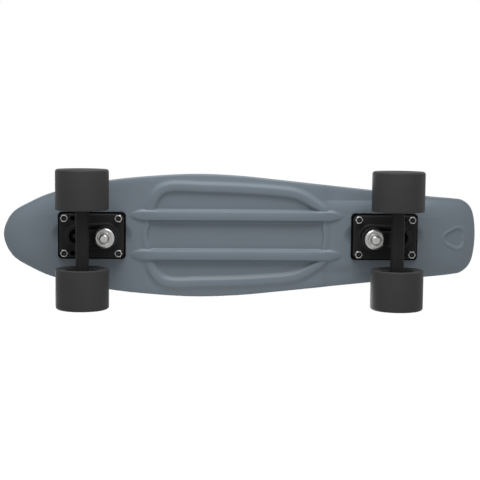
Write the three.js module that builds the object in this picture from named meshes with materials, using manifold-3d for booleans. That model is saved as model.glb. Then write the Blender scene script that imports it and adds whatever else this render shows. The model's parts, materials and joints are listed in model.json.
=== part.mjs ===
// A small plastic cruiser skateboard standing on its four wheels.
// Millimetres, +Z up, the nose towards +X, the origin on the ground below the middle of the board.
import * as THREE from 'three';
import { mergeVertices } from 'three/addons/utils/BufferGeometryUtils.js';
import Module from 'manifold-3d';

const wasm = await Module();
wasm.setup();

// Gaps between pieces that seat in or on one another, and one overrun for all cuts
const seatGap = 0.3;
const cutOverrun = 5;

// Deck, a moulded plastic board with a rounded nose and a squarer kicked tail
const deckLength = 570;
const deckWidth = 147;
const deckWall = 7;
const deckEdgeLift = 4;
const noseRise = 8;
const noseRiseLength = 62;
const tailKick = 20;
const tailKickLength = 71;
const noseHubInset = 49;
const tailHubInset = 46;
// Half the outline, nose to tail: shares of the deck's length and of its width
const outlineShares = [
  [0.5, 0], [0.4945, 0.0905], [0.478, 0.185], [0.4445, 0.2626], [0.4028, 0.3347], [0.335, 0.4027],
  [0.2728, 0.4483], [0.185, 0.483], [0.0965, 0.5], [0.0088, 0.4878], [-0.0798, 0.4551],
  [-0.1684, 0.4197], [-0.258, 0.3844], [-0.3935, 0.3313], [-0.4475, 0.313], [-0.4655, 0.302],
  [-0.4836, 0.2565], [-0.4937, 0.189], [-0.5, 0],
];
// Places of the lengthwise lines between the middle of the board, 0, and its edge, 1
const undersideLineShares = [0.86, 0.43, 0];
const topLineShares = [0.86, 0.62, 0.35, 0];
const undersideFlatShare = 0.86;
const topFlatShare = 0.35;
const rimSteps = 4;
const outlineStepsPerSpan = 2;

// Moulded relief under the deck: a pocket, a ridge round it and two long ribs
const pocketDepth = 1.6;
const ridgeWidth = 17;
const ridgeHeight = 3.6;
const ribNoseGap = 5.2;
const ribTailGap = 9.8;
const ribSpacing = 47.2;
const ribWidth = 15.4;
const ribHeight = 5.2;
const ribTaper = 24;
const ribRoot = 3;
const ribTipShare = 0.012;
// The middle of the ridge on one side, nose end first: shares of the deck's length and width
const ridgeShares = [
  [0.2005, 0.17], [0.197, 0.24], [0.187, 0.31], [0.1725, 0.361], [0.151, 0.386], [0.09, 0.3835],
  [0.0065, 0.374], [-0.0667, 0.356], [-0.105, 0.332], [-0.1318, 0.2975], [-0.157, 0.2507],
  [-0.1735, 0.219], [-0.1845, 0.17],
];
const pocketBowShare = 0.004;
// The ridge's section: shares of its width, outwards, and of its height, downwards
const ridgeSectionShares = [
  [-0.5, -0.6], [-0.36, 0.45], [-0.22, 0.95], [0, 1], [0.18, 0.9], [0.35, 0.4], [0.53, -0.1],
  [0.53, -0.6],
];
const ribSectionShares = [
  [-0.5, 0], [-0.42, 0.48], [-0.23, 0.88], [0, 1], [0.23, 0.88], [0.42, 0.48], [0.5, 0],
];
const ridgeSteps = 18;
const ribSteps = 10;

// Relief of the tail: its sloped margins and a plain rounded three-sided recess
const marginLength = 151;
const marginEndInset = 40;
const marginFade = 26;
const marginHalfWidth = 41;
const marginSlope = 18;
const marginDepth = 2.4;
const tailMarkInset = 29.5;
const tailMarkSize = 11.6;
const tailMarkCornerShare = 0.12;
const tailMarkRimShare = 1.2;
const tailMarkRimHeight = 0.6;
const tailMarkDepth = 1.3;
const tailMarkSteps = 18;

// Truck places and the bolt pattern that fastens them
const noseOverhang = 105.7;
const tailOverhang = 115.7;
const boltSpacingLong = 63.5;
const boltSpacingCross = 41.3;
const boltDiameter = 4.8;
const boltHoleClearance = 0.7;
const boltHeadDiameter = 9.4;
const boltHeadHeight = 2.6;
const boltEndInset = 0.6;
const lockNutSizes = {
  across: 8, height: 5, crownDiameter: 7.6, crownHeight: 1.5, boreDiameter: boltDiameter,
};
const scoopRadius = 9.6;
const scoopDepth = 2.2;
const scoopFloorShare = 0.55;

// Riser pad and baseplate
const riserEndMargin = 8.25;
const riserSideMargin = 7.35;
const riserCorner = 5;
const riserThickness = 3;
const plateEndMargin = 6.25;
const plateSideMargin = 5.15;
const plateCorner = 5.5;
const plateThickness = 5;
const plateBevel = 0.8;
const spareHoleInset = 9.5;
const kingpinInset = 17.4;
const pivotOutset = 17.1;
const bossHeight = 6;
const kingpinBossRadius = 16;
const kingpinBossWall = 2.4;
const pocketNeckShare = 0.8;
const kingpinSeatHeight = 2;
const kingpinSeatRadius = 12.6;
const pivotBossRadius = 13.4;
const pivotBossHeight = 9;

// Pivot cup and pivot
const pivotDrop = 12.5;
const pivotBallRadius = 4.9;
const pivotNeckRadius = 4.2;
const cupWall = 3;
const cupSeatDepth = 3;
const cupRunningGap = 0.35;

// Kingpin, washers and bushings, counted from the baseplate's kingpin seat towards the road
const kingpinDiameter = 9.5;
const kingpinHeadAcross = 14;
const kingpinHeadHeight = 4;
const kingpinBoreClearance = 0.35;
const washerThickness = 1.5;
const washerDiameter = 23;
const washerLip = 1.4;
const boardBushingHeight = 12.4;
const boardBushingDiameter = 22;
const boardBushingWaistDiameter = 19.6;
const roadBushingHeight = 9.2;
const roadBushingDiameter = 21;
const roadBushingSmallDiameter = 17.5;
const ringThickness = 7;
const ringRadius = 13.6;
const ringBoreRadius = 6.6;
const ringSeatRadius = 11.6;
const ringSeatDepth = 1;
const kingpinNutSizes = {
  across: 14.3, height: 7, crownDiameter: 12.2, crownHeight: 1.6, boreDiameter: kingpinDiameter,
};
const kingpinEndProud = 5;

// Hanger and axle
const axleDrop = 53.5;
const axleOutset = 7;
const axleDiameter = 8;
const barWidth = 14.6;
const barDepth = 15.4;
const barCorner = 4.6;
const webWidth = 17;
const webBevel = 2;
const webShoulderShare = 0.6;
const gussetLength = 17;
const gussetDrop = 12;
const gussetWidth = 9;
const washerSweep = 3;

// Wheels and bearings
const wheelDiameter = 61;
const wheelWidth = 46.5;
const wheelTrack = 113.8;
const wheelOuterRound = 5.5;
const wheelInnerRound = 3;
const wheelMouthDiameter = 39;
const wheelFaceDish = 1.2;
const wheelSides = 24;
const bearingDiameter = 22;
const bearingWidth = 7;
const bearingShieldInset = 0.5;
const innerRaceDiameter = 12;
const bearingSpacing = 10;
const spacerShoulderDiameter = 18;
const speedWasherThickness = 1;
const speedWasherDiameter = 12.6;
const axleNutSizes = {
  across: 12.7, height: 6.4, crownDiameter: 11.4, crownHeight: 1.5, boreDiameter: axleDiameter,
};
const axleEndProud = 0.8;

// Round shapes are drawn with these numbers of sides
const smallSides = 8;
const mediumSides = 12;
const largeSides = 16;
// Steps in each half of a drawn arc: small corners and large arches
const cornerSteps = 2;
const archSteps = 4;

// Sizes that follow from the ones above
const nosePlatePlace = deckLength / 2 - noseOverhang;
const tailPlatePlace = deckLength / 2 - tailOverhang;
const riserLength = boltSpacingLong + riserEndMargin * 2;
const riserWidth = boltSpacingCross + riserSideMargin * 2;
const plateLength = boltSpacingLong + plateEndMargin * 2;
const plateWidth = boltSpacingCross + plateSideMargin * 2;
const ribNoseEnd = nosePlatePlace - riserLength / 2 - ribNoseGap;
const ribTailEnd = -tailPlatePlace + riserLength / 2 + ribTailGap;
const ribLength = ribNoseEnd - ribTailEnd;
const marginEnd = deckLength / 2 - marginEndInset;
const marginStart = marginEnd - marginLength;
const tailMarkPlace = deckLength / 2 - tailMarkInset;
const wheelRadius = wheelDiameter / 2;
const undersideHeight = wheelRadius + axleDrop;
const plateFace = riserThickness + seatGap + plateThickness;
const kingpinSeat = plateFace + kingpinSeatHeight;
const boardBushingStart = kingpinSeat + washerThickness + seatGap * 2;
const ringStart = boardBushingStart + boardBushingHeight + seatGap - ringSeatDepth;
const ringEnd = ringStart + ringThickness;
const ringMiddle = ringStart + ringThickness / 2;
const roadBushingStart = ringEnd - ringSeatDepth + seatGap;
const roadWasherStart = roadBushingStart + roadBushingHeight + seatGap;
const kingpinNutStart = roadWasherStart + washerThickness + seatGap;
const kingpinEnd = kingpinNutStart + kingpinNutSizes.height + kingpinEndProud;
const steeringTilt = Math.atan2(ringMiddle - pivotDrop, kingpinInset + pivotOutset);
const bearingStack = bearingWidth * 2 + bearingSpacing;
const sleeveHalf = bearingStack / 2 + speedWasherThickness;
const hangerHalf = wheelTrack / 2 - sleeveHalf - seatGap;
const axleNutStart = wheelTrack / 2 + sleeveHalf + seatGap;
const axleHalf = axleNutStart + axleNutSizes.height + axleEndProud;

const finishes = {
  deckPlastic: { color: 0x69737d, roughness: 0.5, metalness: 0 },
  blackRubber: { color: 0x141414, roughness: 0.8, metalness: 0 },
  blackPaint: { color: 0x1b1b1b, roughness: 0.55, metalness: 0.3 },
  blackSteel: { color: 0x242424, roughness: 0.5, metalness: 0.6 },
  brightSteel: { color: 0xb9bab8, roughness: 0.3, metalness: 1 },
  bushing: { color: 0x1d1d1d, roughness: 0.6, metalness: 0 },
  wheel: { color: 0x3b3b3a, roughness: 0.55, metalness: 0 },
};

// Welds a geometry's corners and drops the slivers that the weld leaves on an axis or a pole
function welded(geometry) {
  const bare = geometry.index ? geometry.toNonIndexed() : geometry.clone();
  for (const name of Object.keys(bare.attributes)) {
    if (name !== 'position') bare.deleteAttribute(name);
  }
  const merged = mergeVertices(bare);
  const corners = merged.index.array;
  const kept = [];
  for (let i = 0; i < corners.length; i += 3) {
    const [a, b, c] = [corners[i], corners[i + 1], corners[i + 2]];
    if (a !== b && b !== c && c !== a) kept.push(a, b, c);
  }
  merged.setIndex(kept);
  return merged;
}

// Six times the enclosed volume, negative where the faces point inwards
function signedVolume(geometry) {
  const place = geometry.attributes.position;
  const corners = geometry.index.array;
  const [a, b, c] = [new THREE.Vector3(), new THREE.Vector3(), new THREE.Vector3()];
  let sum = 0;
  for (let i = 0; i < corners.length; i += 3) {
    a.fromBufferAttribute(place, corners[i]);
    b.fromBufferAttribute(place, corners[i + 1]);
    c.fromBufferAttribute(place, corners[i + 2]);
    sum += a.dot(b.cross(c));
  }
  return sum;
}

function outward(geometry) {
  const closed = welded(geometry);
  if (signedVolume(closed) < 0) {
    const corners = Array.from(closed.index.array);
    for (let i = 0; i < corners.length; i += 3) {
      [corners[i], corners[i + 1]] = [corners[i + 1], corners[i]];
    }
    closed.setIndex(corners);
  }
  return closed;
}

function solidOf(geometry) {
  const closed = outward(geometry);
  return new wasm.Manifold(new wasm.Mesh({
    numProp: 3,
    vertProperties: new Float32Array(closed.attributes.position.array),
    triVerts: new Uint32Array(closed.index.array),
  }));
}

function geometryOf(solid) {
  const mesh = solid.getMesh();
  const geometry = new THREE.BufferGeometry();
  geometry.setAttribute('position', new THREE.BufferAttribute(new Float32Array(mesh.vertProperties), 3));
  geometry.setIndex(new THREE.BufferAttribute(new Uint32Array(mesh.triVerts), 1));
  return geometry;
}

function joined(geometries) {
  return geometries.map(solidOf).reduce((whole, piece) => whole.add(piece));
}

function cutBy(solid, geometries) {
  return geometries.map(solidOf).reduce((rest, cutter) => rest.subtract(cutter), solid);
}

// A turned shape on the Z axis from a profile of [radius, height] pairs
function turned(profile, sides) {
  const points = profile.map(([radius, height]) => new THREE.Vector2(radius, height));
  return new THREE.LatheGeometry(points, sides).rotateX(Math.PI / 2);
}

// A turned ring: its profile closes on itself
function turnedRing(profile, sides) {
  return turned([...profile, profile[0]], sides);
}

// A round bar on the Z axis, from one height to another
function rod(radius, low, high, sides) {
  return turned([[0, low], [radius, low], [radius, high], [0, high]], sides);
}

// The corner radius that makes a drawn circle's flats lie on the true radius
function flatsOn(radius, sides) {
  return radius / Math.cos(Math.PI / sides);
}

function roundedRectangle(length, width, corner) {
  const shape = new THREE.Shape();
  const [x, y] = [length / 2 - corner, width / 2 - corner];
  shape.absarc(x, y, corner, 0, Math.PI / 2);
  shape.absarc(-x, y, corner, Math.PI / 2, Math.PI);
  shape.absarc(-x, -y, corner, Math.PI, Math.PI * 1.5);
  shape.absarc(x, -y, corner, Math.PI * 1.5, Math.PI * 2);
  return shape;
}

// The outline round two circles on the X axis, with the straight lines that touch both
function pearShape(lowX, lowRadius, highX, highRadius) {
  const touch = Math.acos((highRadius - lowRadius) / (highX - lowX));
  const shape = new THREE.Shape();
  shape.absarc(highX, 0, highRadius, -touch, touch);
  shape.absarc(lowX, 0, lowRadius, touch, Math.PI * 2 - touch);
  return shape;
}

// A flat plate from a shape in XY, from one height to another
function plate(shape, low, high, curveSegments = cornerSteps) {
  const options = { depth: high - low, bevelEnabled: false, curveSegments };
  return new THREE.ExtrudeGeometry(shape, options).translate(0, 0, low);
}

// The same plate with its edges bevelled inside its size
function bevelledPlate(shape, low, high, bevel, curveSegments = cornerSteps) {
  const options = {
    depth: high - low - bevel * 2,
    bevelThickness: bevel,
    bevelSize: bevel,
    bevelOffset: -bevel,
    bevelSegments: 1,
    curveSegments,
  };
  return new THREE.ExtrudeGeometry(shape, options).translate(0, 0, low + bevel);
}

function hexagon(acrossFlats) {
  const corner = flatsOn(acrossFlats / 2, 6);
  const points = [];
  for (let i = 0; i < 6; i += 1) {
    const turn = (i / 6) * Math.PI * 2;
    points.push(new THREE.Vector2(corner * Math.cos(turn), corner * Math.sin(turn)));
  }
  return new THREE.Shape(points);
}

function meshOf(points, corners) {
  const places = points.flatMap((point) => point.toArray());
  const geometry = new THREE.BufferGeometry();
  geometry.setAttribute('position', new THREE.Float32BufferAttribute(places, 3));
  geometry.setIndex(corners);
  return geometry;
}

// Joins a row of sections, each with as many points, into one closed skin with flat ends
function skinned(sections) {
  const count = sections[0].length;
  const corners = [];
  for (let s = 0; s < sections.length - 1; s += 1) {
    for (let i = 0; i < count; i += 1) {
      const next = (i + 1) % count;
      const [a, b] = [s * count + i, s * count + next];
      corners.push(a, b, a + count, b, b + count, a + count);
    }
  }
  const last = (sections.length - 1) * count;
  for (let i = 1; i < count - 1; i += 1) {
    corners.push(0, i + 1, i);
    corners.push(last, last + i, last + i + 1);
  }
  return meshOf(sections.flat(), corners);
}

// The deck's outline as a loop of points, alike on both sides of the middle
function deckOutline() {
  const half = outlineShares.map(([x, y]) => new THREE.Vector3(x * deckLength, y * deckWidth, 0));
  const other = half.slice(1, -1).reverse().map((point) => new THREE.Vector3(point.x, -point.y, 0));
  const curve = new THREE.CatmullRomCurve3([...half, ...other], true, 'centripetal');
  const steps = (half.length - 1) * outlineStepsPerSpan;
  const points = [];
  for (let i = 0; i <= steps; i += 1) {
    const point = curve.getPoint(i / (steps * 2));
    points.push(new THREE.Vector2(point.x, i % steps === 0 ? 0 : point.y));
  }
  const mirrored = points.slice(1, -1).reverse().map((point) => new THREE.Vector2(point.x, -point.y));
  return [...points, ...mirrored];
}

// How far the board's middle line has risen at a place along it
function riseAt(x) {
  const nose = Math.max(0, x - (deckLength / 2 - noseRiseLength)) / noseRiseLength;
  const tail = Math.max(0, -x - (deckLength / 2 - tailKickLength)) / tailKickLength;
  return noseRise * nose ** 2 + tailKick * tail ** 2;
}

function curlAt(across, flatShare) {
  return deckEdgeLift * (Math.max(0, across - flatShare) / (1 - flatShare)) ** 2;
}

// One line of points round the board's wall, from the underside's middle over the rim to the top's middle
function deckLine(edge) {
  const hubX = Math.min(Math.max(edge.x, -deckLength / 2 + tailHubInset), deckLength / 2 - noseHubInset);
  const hub = new THREE.Vector2(hubX, 0);
  const reach = edge.distanceTo(hub);
  const rim = deckWall / 2;
  const point = (across, height) => {
    const flat = hub.clone().lerp(edge, across);
    return new THREE.Vector3(flat.x, flat.y, height(flat.x));
  };
  const underside = (across) => point(across, (x) => riseAt(x) + curlAt(across, undersideFlatShare));
  const top = (across) => point(across, (x) => deckWall + riseAt(x) + curlAt(across, topFlatShare));
  const line = [...undersideLineShares].reverse().map(underside);
  for (let i = 0; i <= rimSteps; i += 1) {
    const turn = Math.PI * (i / rimSteps - 1 / 2);
    const across = 1 - (rim * (1 - Math.cos(turn))) / reach;
    const lift = curlAt(1 - rim / reach, undersideFlatShare) * (1 - i / rimSteps)
      + curlAt(1 - rim / reach, topFlatShare) * (i / rimSteps);
    line.push(point(across, (x) => riseAt(x) + lift + rim + rim * Math.sin(turn)));
  }
  return [...line, ...topLineShares.map(top)];
}

function deckBlank() {
  const lines = deckOutline().map(deckLine);
  const count = lines[0].length;
  const corners = [];
  for (let s = 0; s < lines.length; s += 1) {
    const here = s * count;
    const there = ((s + 1) % lines.length) * count;
    for (let i = 0; i < count - 1; i += 1) {
      corners.push(here + i, there + i, here + i + 1);
      corners.push(there + i, there + i + 1, here + i + 1);
    }
  }
  return meshOf(lines.flat(), corners);
}

function ridgePath() {
  const points = ridgeShares.map(([x, y]) => new THREE.Vector3(x * deckLength, y * deckWidth, 0));
  return new THREE.CatmullRomCurve3(points, false, 'centripetal');
}

// The ridge on one side of the pocket, swept along its middle line
function ridge(side) {
  const path = ridgePath();
  const sections = [];
  for (let i = 0; i <= ridgeSteps; i += 1) {
    const place = path.getPointAt(i / ridgeSteps);
    const along = path.getTangentAt(i / ridgeSteps);
    const out = new THREE.Vector3(-along.y, along.x, 0).multiplyScalar(-1);
    sections.push(ridgeSectionShares.map(([across, down]) => {
      const point = place.clone().addScaledVector(out, across * ridgeWidth);
      return new THREE.Vector3(point.x, point.y * side, -down * ridgeHeight);
    }));
  }
  return skinned(sections);
}

// The recessed floor inside the ridge, with slightly bowed ends
function pocketCutter() {
  const middle = ridgePath().getPoints(ridgeSteps).map((point) => new THREE.Vector2(point.x, point.y));
  const bow = pocketBowShare * deckLength;
  const noseEnd = new THREE.Vector2(middle[0].x + bow, 0);
  const tailEnd = new THREE.Vector2(middle[ridgeSteps].x - bow, 0);
  const mirrored = middle.map((point) => new THREE.Vector2(point.x, -point.y)).reverse();
  const shape = new THREE.Shape([noseEnd, ...middle, tailEnd, ...mirrored]);
  return plate(shape, -cutOverrun, pocketDepth);
}

// A long rib with a half-round section that runs out to a point at both ends
function rib(side) {
  const sections = [];
  for (let i = 0; i <= ribSteps; i += 1) {
    const along = (1 - Math.cos((i / ribSteps) * Math.PI)) / 2;
    const fromEnd = Math.min(along, 1 - along) * ribLength;
    const bluntness = (1 - Math.min(1, fromEnd / ribTaper)) ** 2;
    const fullness = Math.sqrt(Math.max(1 - bluntness, ribTipShare));
    const x = ribTailEnd + along * ribLength;
    const point = (across, z) => {
      const y = (ribSpacing / 2) * side + across * ribWidth * fullness;
      return new THREE.Vector3(x, y, z);
    };
    const section = ribSectionShares.map(([across, down]) => point(across, -down * ribHeight * fullness));
    sections.push([...section, point(1 / 2, ribRoot), point(-1 / 2, ribRoot)]);
  }
  return skinned(sections);
}

// The space below the tail's sloped margin on one side
function marginCutter(side) {
  const places = [marginStart, marginStart + marginFade, marginEnd - marginFade, marginEnd];
  const depths = [0, marginDepth, marginDepth, 0];
  return skinned(places.map((place, i) => {
    const rise = riseAt(-place);
    const foot = marginHalfWidth + marginSlope;
    const section = [
      [marginHalfWidth, -cutOverrun], [marginHalfWidth, rise], [foot, rise + depths[i]],
      [deckWidth / 2, rise + depths[i]], [deckWidth / 2, -cutOverrun],
    ];
    return section.map(([y, z]) => new THREE.Vector3(-place, y * side, z));
  }));
}

function tailMarkShape(scale) {
  const points = [];
  for (let i = 0; i < tailMarkSteps; i += 1) {
    const turn = (i / tailMarkSteps) * Math.PI * 2;
    const radius = tailMarkSize * scale * (1 + tailMarkCornerShare * Math.cos(turn * 3));
    points.push(new THREE.Vector2(radius * Math.cos(turn), radius * Math.sin(turn)));
  }
  return new THREE.Shape(points);
}

// Lays a piece drawn round the origin on the kicked underside of the tail
function onTail(geometry) {
  const into = deckLength / 2 - tailKickLength;
  const slope = (2 * tailKick * (tailMarkPlace - into)) / tailKickLength ** 2;
  return geometry.rotateY(Math.atan(slope)).translate(-tailMarkPlace, 0, riseAt(-tailMarkPlace));
}

// A shallow round dish cut into the underside at a place along the middle
function scoop(x) {
  const profile = [
    [0, scoopDepth], [scoopRadius * scoopFloorShare, scoopDepth * (1 - scoopFloorShare ** 3)],
    [scoopRadius, 0], [scoopRadius, -cutOverrun], [0, -cutOverrun],
  ];
  return turned(profile, mediumSides).translate(x, 0, 0);
}

function boltPlaces() {
  const places = [];
  for (const x of [1, -1]) {
    for (const y of [1, -1]) places.push([(x * boltSpacingLong) / 2, (y * boltSpacingCross) / 2]);
  }
  return places;
}

function boltHole(x, y, low, high) {
  return rod((boltDiameter + boltHoleClearance) / 2, low, high, smallSides).translate(x, y, 0);
}

function deckBoltCutters(plateX, turn) {
  const hole = (boltDiameter + boltHoleClearance) / 2;
  const head = boltHeadDiameter / 2 + seatGap;
  const profile = [
    [0, -cutOverrun], [hole, -cutOverrun], [hole, deckWall - boltHeadHeight], [head, deckWall],
    [head, deckWall + cutOverrun], [0, deckWall + cutOverrun],
  ];
  return boltPlaces().map(([x, y]) => turned(profile, smallSides).translate(plateX + x * turn, y, 0));
}

function deckGeometry() {
  const tailMarkRim = onTail(plate(tailMarkShape(tailMarkRimShare), -tailMarkRimHeight, ribRoot));
  const blank = cutBy(solidOf(deckBlank()), [
    pocketCutter(), marginCutter(1), marginCutter(-1),
    scoop(nosePlatePlace + riserLength / 2), scoop(nosePlatePlace - riserLength / 2),
    scoop(-tailPlatePlace + riserLength / 2), scoop(-tailPlatePlace - riserLength / 2),
  ]);
  const relieved = blank.add(joined([ridge(1), ridge(-1), rib(1), rib(-1), tailMarkRim]));
  return geometryOf(cutBy(relieved, [
    onTail(plate(tailMarkShape(1), -cutOverrun, tailMarkDepth)),
    ...deckBoltCutters(nosePlatePlace, 1),
    ...deckBoltCutters(-tailPlatePlace, -1),
  ]));
}

// A countersunk bolt from the deck's top down to its lock nut; depths run down from the underside
function boltGeometry() {
  const end = plateFace + seatGap + lockNutSizes.height - boltEndInset;
  const profile = [
    [0, -end], [boltDiameter / 2, -end], [boltDiameter / 2, deckWall - boltHeadHeight],
    [boltHeadDiameter / 2, deckWall - seatGap], [0, deckWall - seatGap],
  ];
  return outward(turned(profile, smallSides));
}

// A hexagon nut with a round crown, its seat at zero and its crown downwards
function nutGeometry(sizes, sides) {
  const hexHeight = sizes.height - sizes.crownHeight;
  const body = joined([
    plate(hexagon(sizes.across), -hexHeight, 0),
    rod(sizes.crownDiameter / 2, -sizes.height, -hexHeight / 2, sides),
  ]);
  const bore = sizes.boreDiameter / 2 + seatGap;
  return geometryOf(cutBy(body, [rod(bore, -sizes.height - cutOverrun, cutOverrun, sides)]));
}

function riserGeometry() {
  const blank = solidOf(plate(roundedRectangle(riserLength, riserWidth, riserCorner), -riserThickness, 0));
  const holes = boltPlaces().map(([x, y]) => boltHole(x, y, -cutOverrun, cutOverrun));
  return geometryOf(cutBy(blank, holes));
}

// The steering axis: a geometry drawn along Z, with its zero at the pivot, is laid on it
function onSteeringAxis(geometry) {
  return geometry.rotateY(-Math.PI / 2 - steeringTilt).translate(pivotOutset, 0, -pivotDrop);
}

function baseplateGeometry() {
  const top = -riserThickness - seatGap;
  const face = -plateFace;
  const outline = roundedRectangle(plateLength, plateWidth, plateCorner);
  const bossShape = pearShape(-kingpinInset, kingpinBossRadius, pivotOutset, pivotBossRadius);
  const bossInner = kingpinBossRadius - kingpinBossWall;
  const pivotBoss = new THREE.Shape().absarc(pivotOutset, 0, pivotBossRadius, 0, Math.PI * 2);
  const pivotTop = face - pivotBossHeight;
  const blank = joined([
    bevelledPlate(outline, face, top, plateBevel),
    plate(bossShape, face - bossHeight, face + plateBevel, archSteps),
    bevelledPlate(pivotBoss, pivotTop, face, plateBevel, archSteps * 2),
  ]);
  const neckPlace = pivotOutset - pivotBossRadius;
  const pocketShape = pearShape(-kingpinInset, bossInner, neckPlace, bossInner * pocketNeckShare);
  const pocketed = cutBy(blank, [plate(pocketShape, pivotTop - cutOverrun, face, archSteps)]);
  const seated = pocketed.add(solidOf(rod(kingpinSeatRadius, -kingpinSeat, face + plateBevel, largeSides)
    .translate(-kingpinInset, 0, 0)));
  const cupHole = pivotBallRadius + cupRunningGap + cupWall + seatGap;
  const headFloor = top - kingpinHeadHeight - seatGap;
  const headPocket = plate(hexagon(kingpinHeadAcross + seatGap * 2), headFloor, cutOverrun);
  return geometryOf(cutBy(seated, [
    rod(flatsOn(cupHole, mediumSides), pivotTop - cutOverrun, face + cupSeatDepth, mediumSides)
      .translate(pivotOutset, 0, 0),
    neckSlot(),
    rod(kingpinDiameter / 2 + kingpinBoreClearance, -kingpinSeat - cutOverrun, cutOverrun, mediumSides)
      .translate(-kingpinInset, 0, 0),
    headPocket.translate(-kingpinInset, 0, 0),
    ...boltPlaces().map(([x, y]) => boltHole(x, y, face - cutOverrun, cutOverrun)),
    ...[1, -1].map((side) => boltHole(
      boltSpacingLong / 2 - spareHoleInset, (side * boltSpacingCross) / 2, face - cutOverrun, cutOverrun,
    )),
  ]));
}

// The opening in the cup's and the boss's walls that the pivot's neck leaves through
function neckSlot() {
  const reach = kingpinInset + pivotOutset;
  return onSteeringAxis(rod(pivotNeckRadius + cupRunningGap * 2, 0, reach, mediumSides));
}

function pivotCupGeometry() {
  const outer = pivotBallRadius + cupRunningGap + cupWall;
  const low = -plateFace + cupSeatDepth - seatGap;
  const high = -plateFace - pivotBossHeight + plateBevel;
  const blank = solidOf(rod(outer, high, low, mediumSides).translate(pivotOutset, 0, 0));
  const room = pivotBallRadius + cupRunningGap * 2;
  const socket = new THREE.SphereGeometry(room, mediumSides, mediumSides / 2);
  const mouth = rod(room, high - cutOverrun, -pivotDrop, mediumSides);
  return geometryOf(cutBy(blank, [
    socket.rotateX(Math.PI / 2).translate(pivotOutset, 0, -pivotDrop),
    mouth.translate(pivotOutset, 0, 0),
    neckSlot(),
  ]));
}

function kingpinGeometry() {
  const top = -riserThickness - seatGap * 2;
  return geometryOf(joined([
    plate(hexagon(kingpinHeadAcross), top - kingpinHeadHeight + seatGap, top),
    rod(kingpinDiameter / 2, -kingpinEnd, top - kingpinHeadHeight / 2, mediumSides),
  ]).translate([-kingpinInset, 0, 0]));
}

// A dished washer; its lip turns towards the bushing that it holds
function washerGeometry(start, lipTowards) {
  const bore = kingpinDiameter / 2 + seatGap;
  const [low, high] = [-start - washerThickness, -start];
  const lip = lipTowards * washerLip;
  const edge = washerDiameter / 2;
  const shoulder = edge - washerThickness;
  const profile = [
    [bore, low], [shoulder, low], [edge, low + lip], [edge, high + lip], [shoulder, high], [bore, high],
  ];
  return outward(turnedRing(profile, largeSides).translate(-kingpinInset, 0, 0));
}

function bushingGeometry(start, height, radiusStart, radiusWaist, radiusEnd) {
  const bore = kingpinDiameter / 2 + seatGap;
  const profile = [
    [bore, -start - height], [radiusEnd, -start - height], [radiusWaist, -start - height / 2],
    [radiusStart, -start], [bore, -start],
  ];
  return outward(turnedRing(profile, mediumSides).translate(-kingpinInset, 0, 0));
}

// The side view of the hanger's web, from the kingpin ring to the axle bar; depths run downwards
function webShape() {
  const sweep = -kingpinInset + washerDiameter / 2 + washerSweep;
  const barIn = axleOutset - barWidth / 2;
  const barOut = axleOutset + barWidth / 2;
  const neck = pivotOutset - pivotBossRadius;
  const root = -kingpinInset + ringSeatRadius;
  const points = [
    [root, ringStart + ringSeatDepth], [sweep, ringStart], [neck, ringStart - ringThickness / 2],
    [barIn + barWidth * webShoulderShare, ringStart], [barOut, axleDrop - barDepth / 2], [barOut, axleDrop],
    [barIn, axleDrop], [barIn, axleDrop - barDepth / 2], [sweep, ringEnd + ringSeatDepth],
    [root, ringEnd - ringSeatDepth],
  ];
  return new THREE.Shape(points.map(([x, depth]) => new THREE.Vector2(x, -depth)));
}

// Turns a plate drawn in XY so that it stands in the XZ plane, centred on the middle
function standing(geometry, width) {
  return geometry.translate(0, 0, -width / 2).rotateX(Math.PI / 2);
}

function gusset(side) {
  const half = webWidth / 2 - webBevel;
  const top = -axleDrop + barDepth / 2;
  const shape = new THREE.Shape([
    new THREE.Vector2(0, top - barDepth / 2), new THREE.Vector2(half + gussetLength, top - barDepth / 2),
    new THREE.Vector2(half + gussetLength, top), new THREE.Vector2(half, top + gussetDrop),
    new THREE.Vector2(0, top + gussetDrop),
  ]);
  const geometry = plate(shape, -gussetWidth / 2, gussetWidth / 2);
  return geometry.rotateX(Math.PI / 2).rotateZ((Math.PI / 2) * side).translate(axleOutset, 0, 0);
}

function hangerGeometry() {
  const bar = bevelledPlate(roundedRectangle(barWidth, barDepth, barCorner), 0, hangerHalf * 2, plateBevel);
  const web = standing(bevelledPlate(webShape(), 0, webWidth, webBevel), webWidth);
  const neckLength = (kingpinInset + pivotOutset) / 2;
  const ballCorner = pivotBallRadius * Math.SQRT1_2;
  const pivot = turned([
    [0, -pivotBallRadius], [ballCorner, -ballCorner], [pivotBallRadius, 0], [pivotNeckRadius, ballCorner],
    [pivotNeckRadius, neckLength], [0, neckLength],
  ], mediumSides);
  const body = joined([
    standing(bar, hangerHalf * 2).translate(axleOutset, 0, -axleDrop),
    web,
    gusset(1),
    gusset(-1),
    onSteeringAxis(pivot),
    rod(ringRadius, -ringEnd, -ringStart, largeSides).translate(-kingpinInset, 0, 0),
  ]);
  const axleBore = flatsOn(axleDiameter / 2 + seatGap, mediumSides);
  const kingpinRoom = [
    rod(ringBoreRadius, -ringEnd - cutOverrun, -ringStart + cutOverrun, mediumSides),
    rod(ringSeatRadius, -ringEnd - cutOverrun, -ringEnd + ringSeatDepth, largeSides),
    rod(ringSeatRadius, -ringStart - ringSeatDepth, -ringStart + cutOverrun, largeSides),
    rod(washerDiameter / 2 + washerSweep, -kingpinEnd, -ringEnd - ringSeatDepth, largeSides),
  ];
  return geometryOf(cutBy(body, [
    rod(axleBore, -hangerHalf - cutOverrun, hangerHalf + cutOverrun, mediumSides)
      .rotateX(Math.PI / 2)
      .translate(axleOutset, 0, -axleDrop),
    ...kingpinRoom.map((room) => room.translate(-kingpinInset, 0, 0)),
  ]));
}

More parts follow.
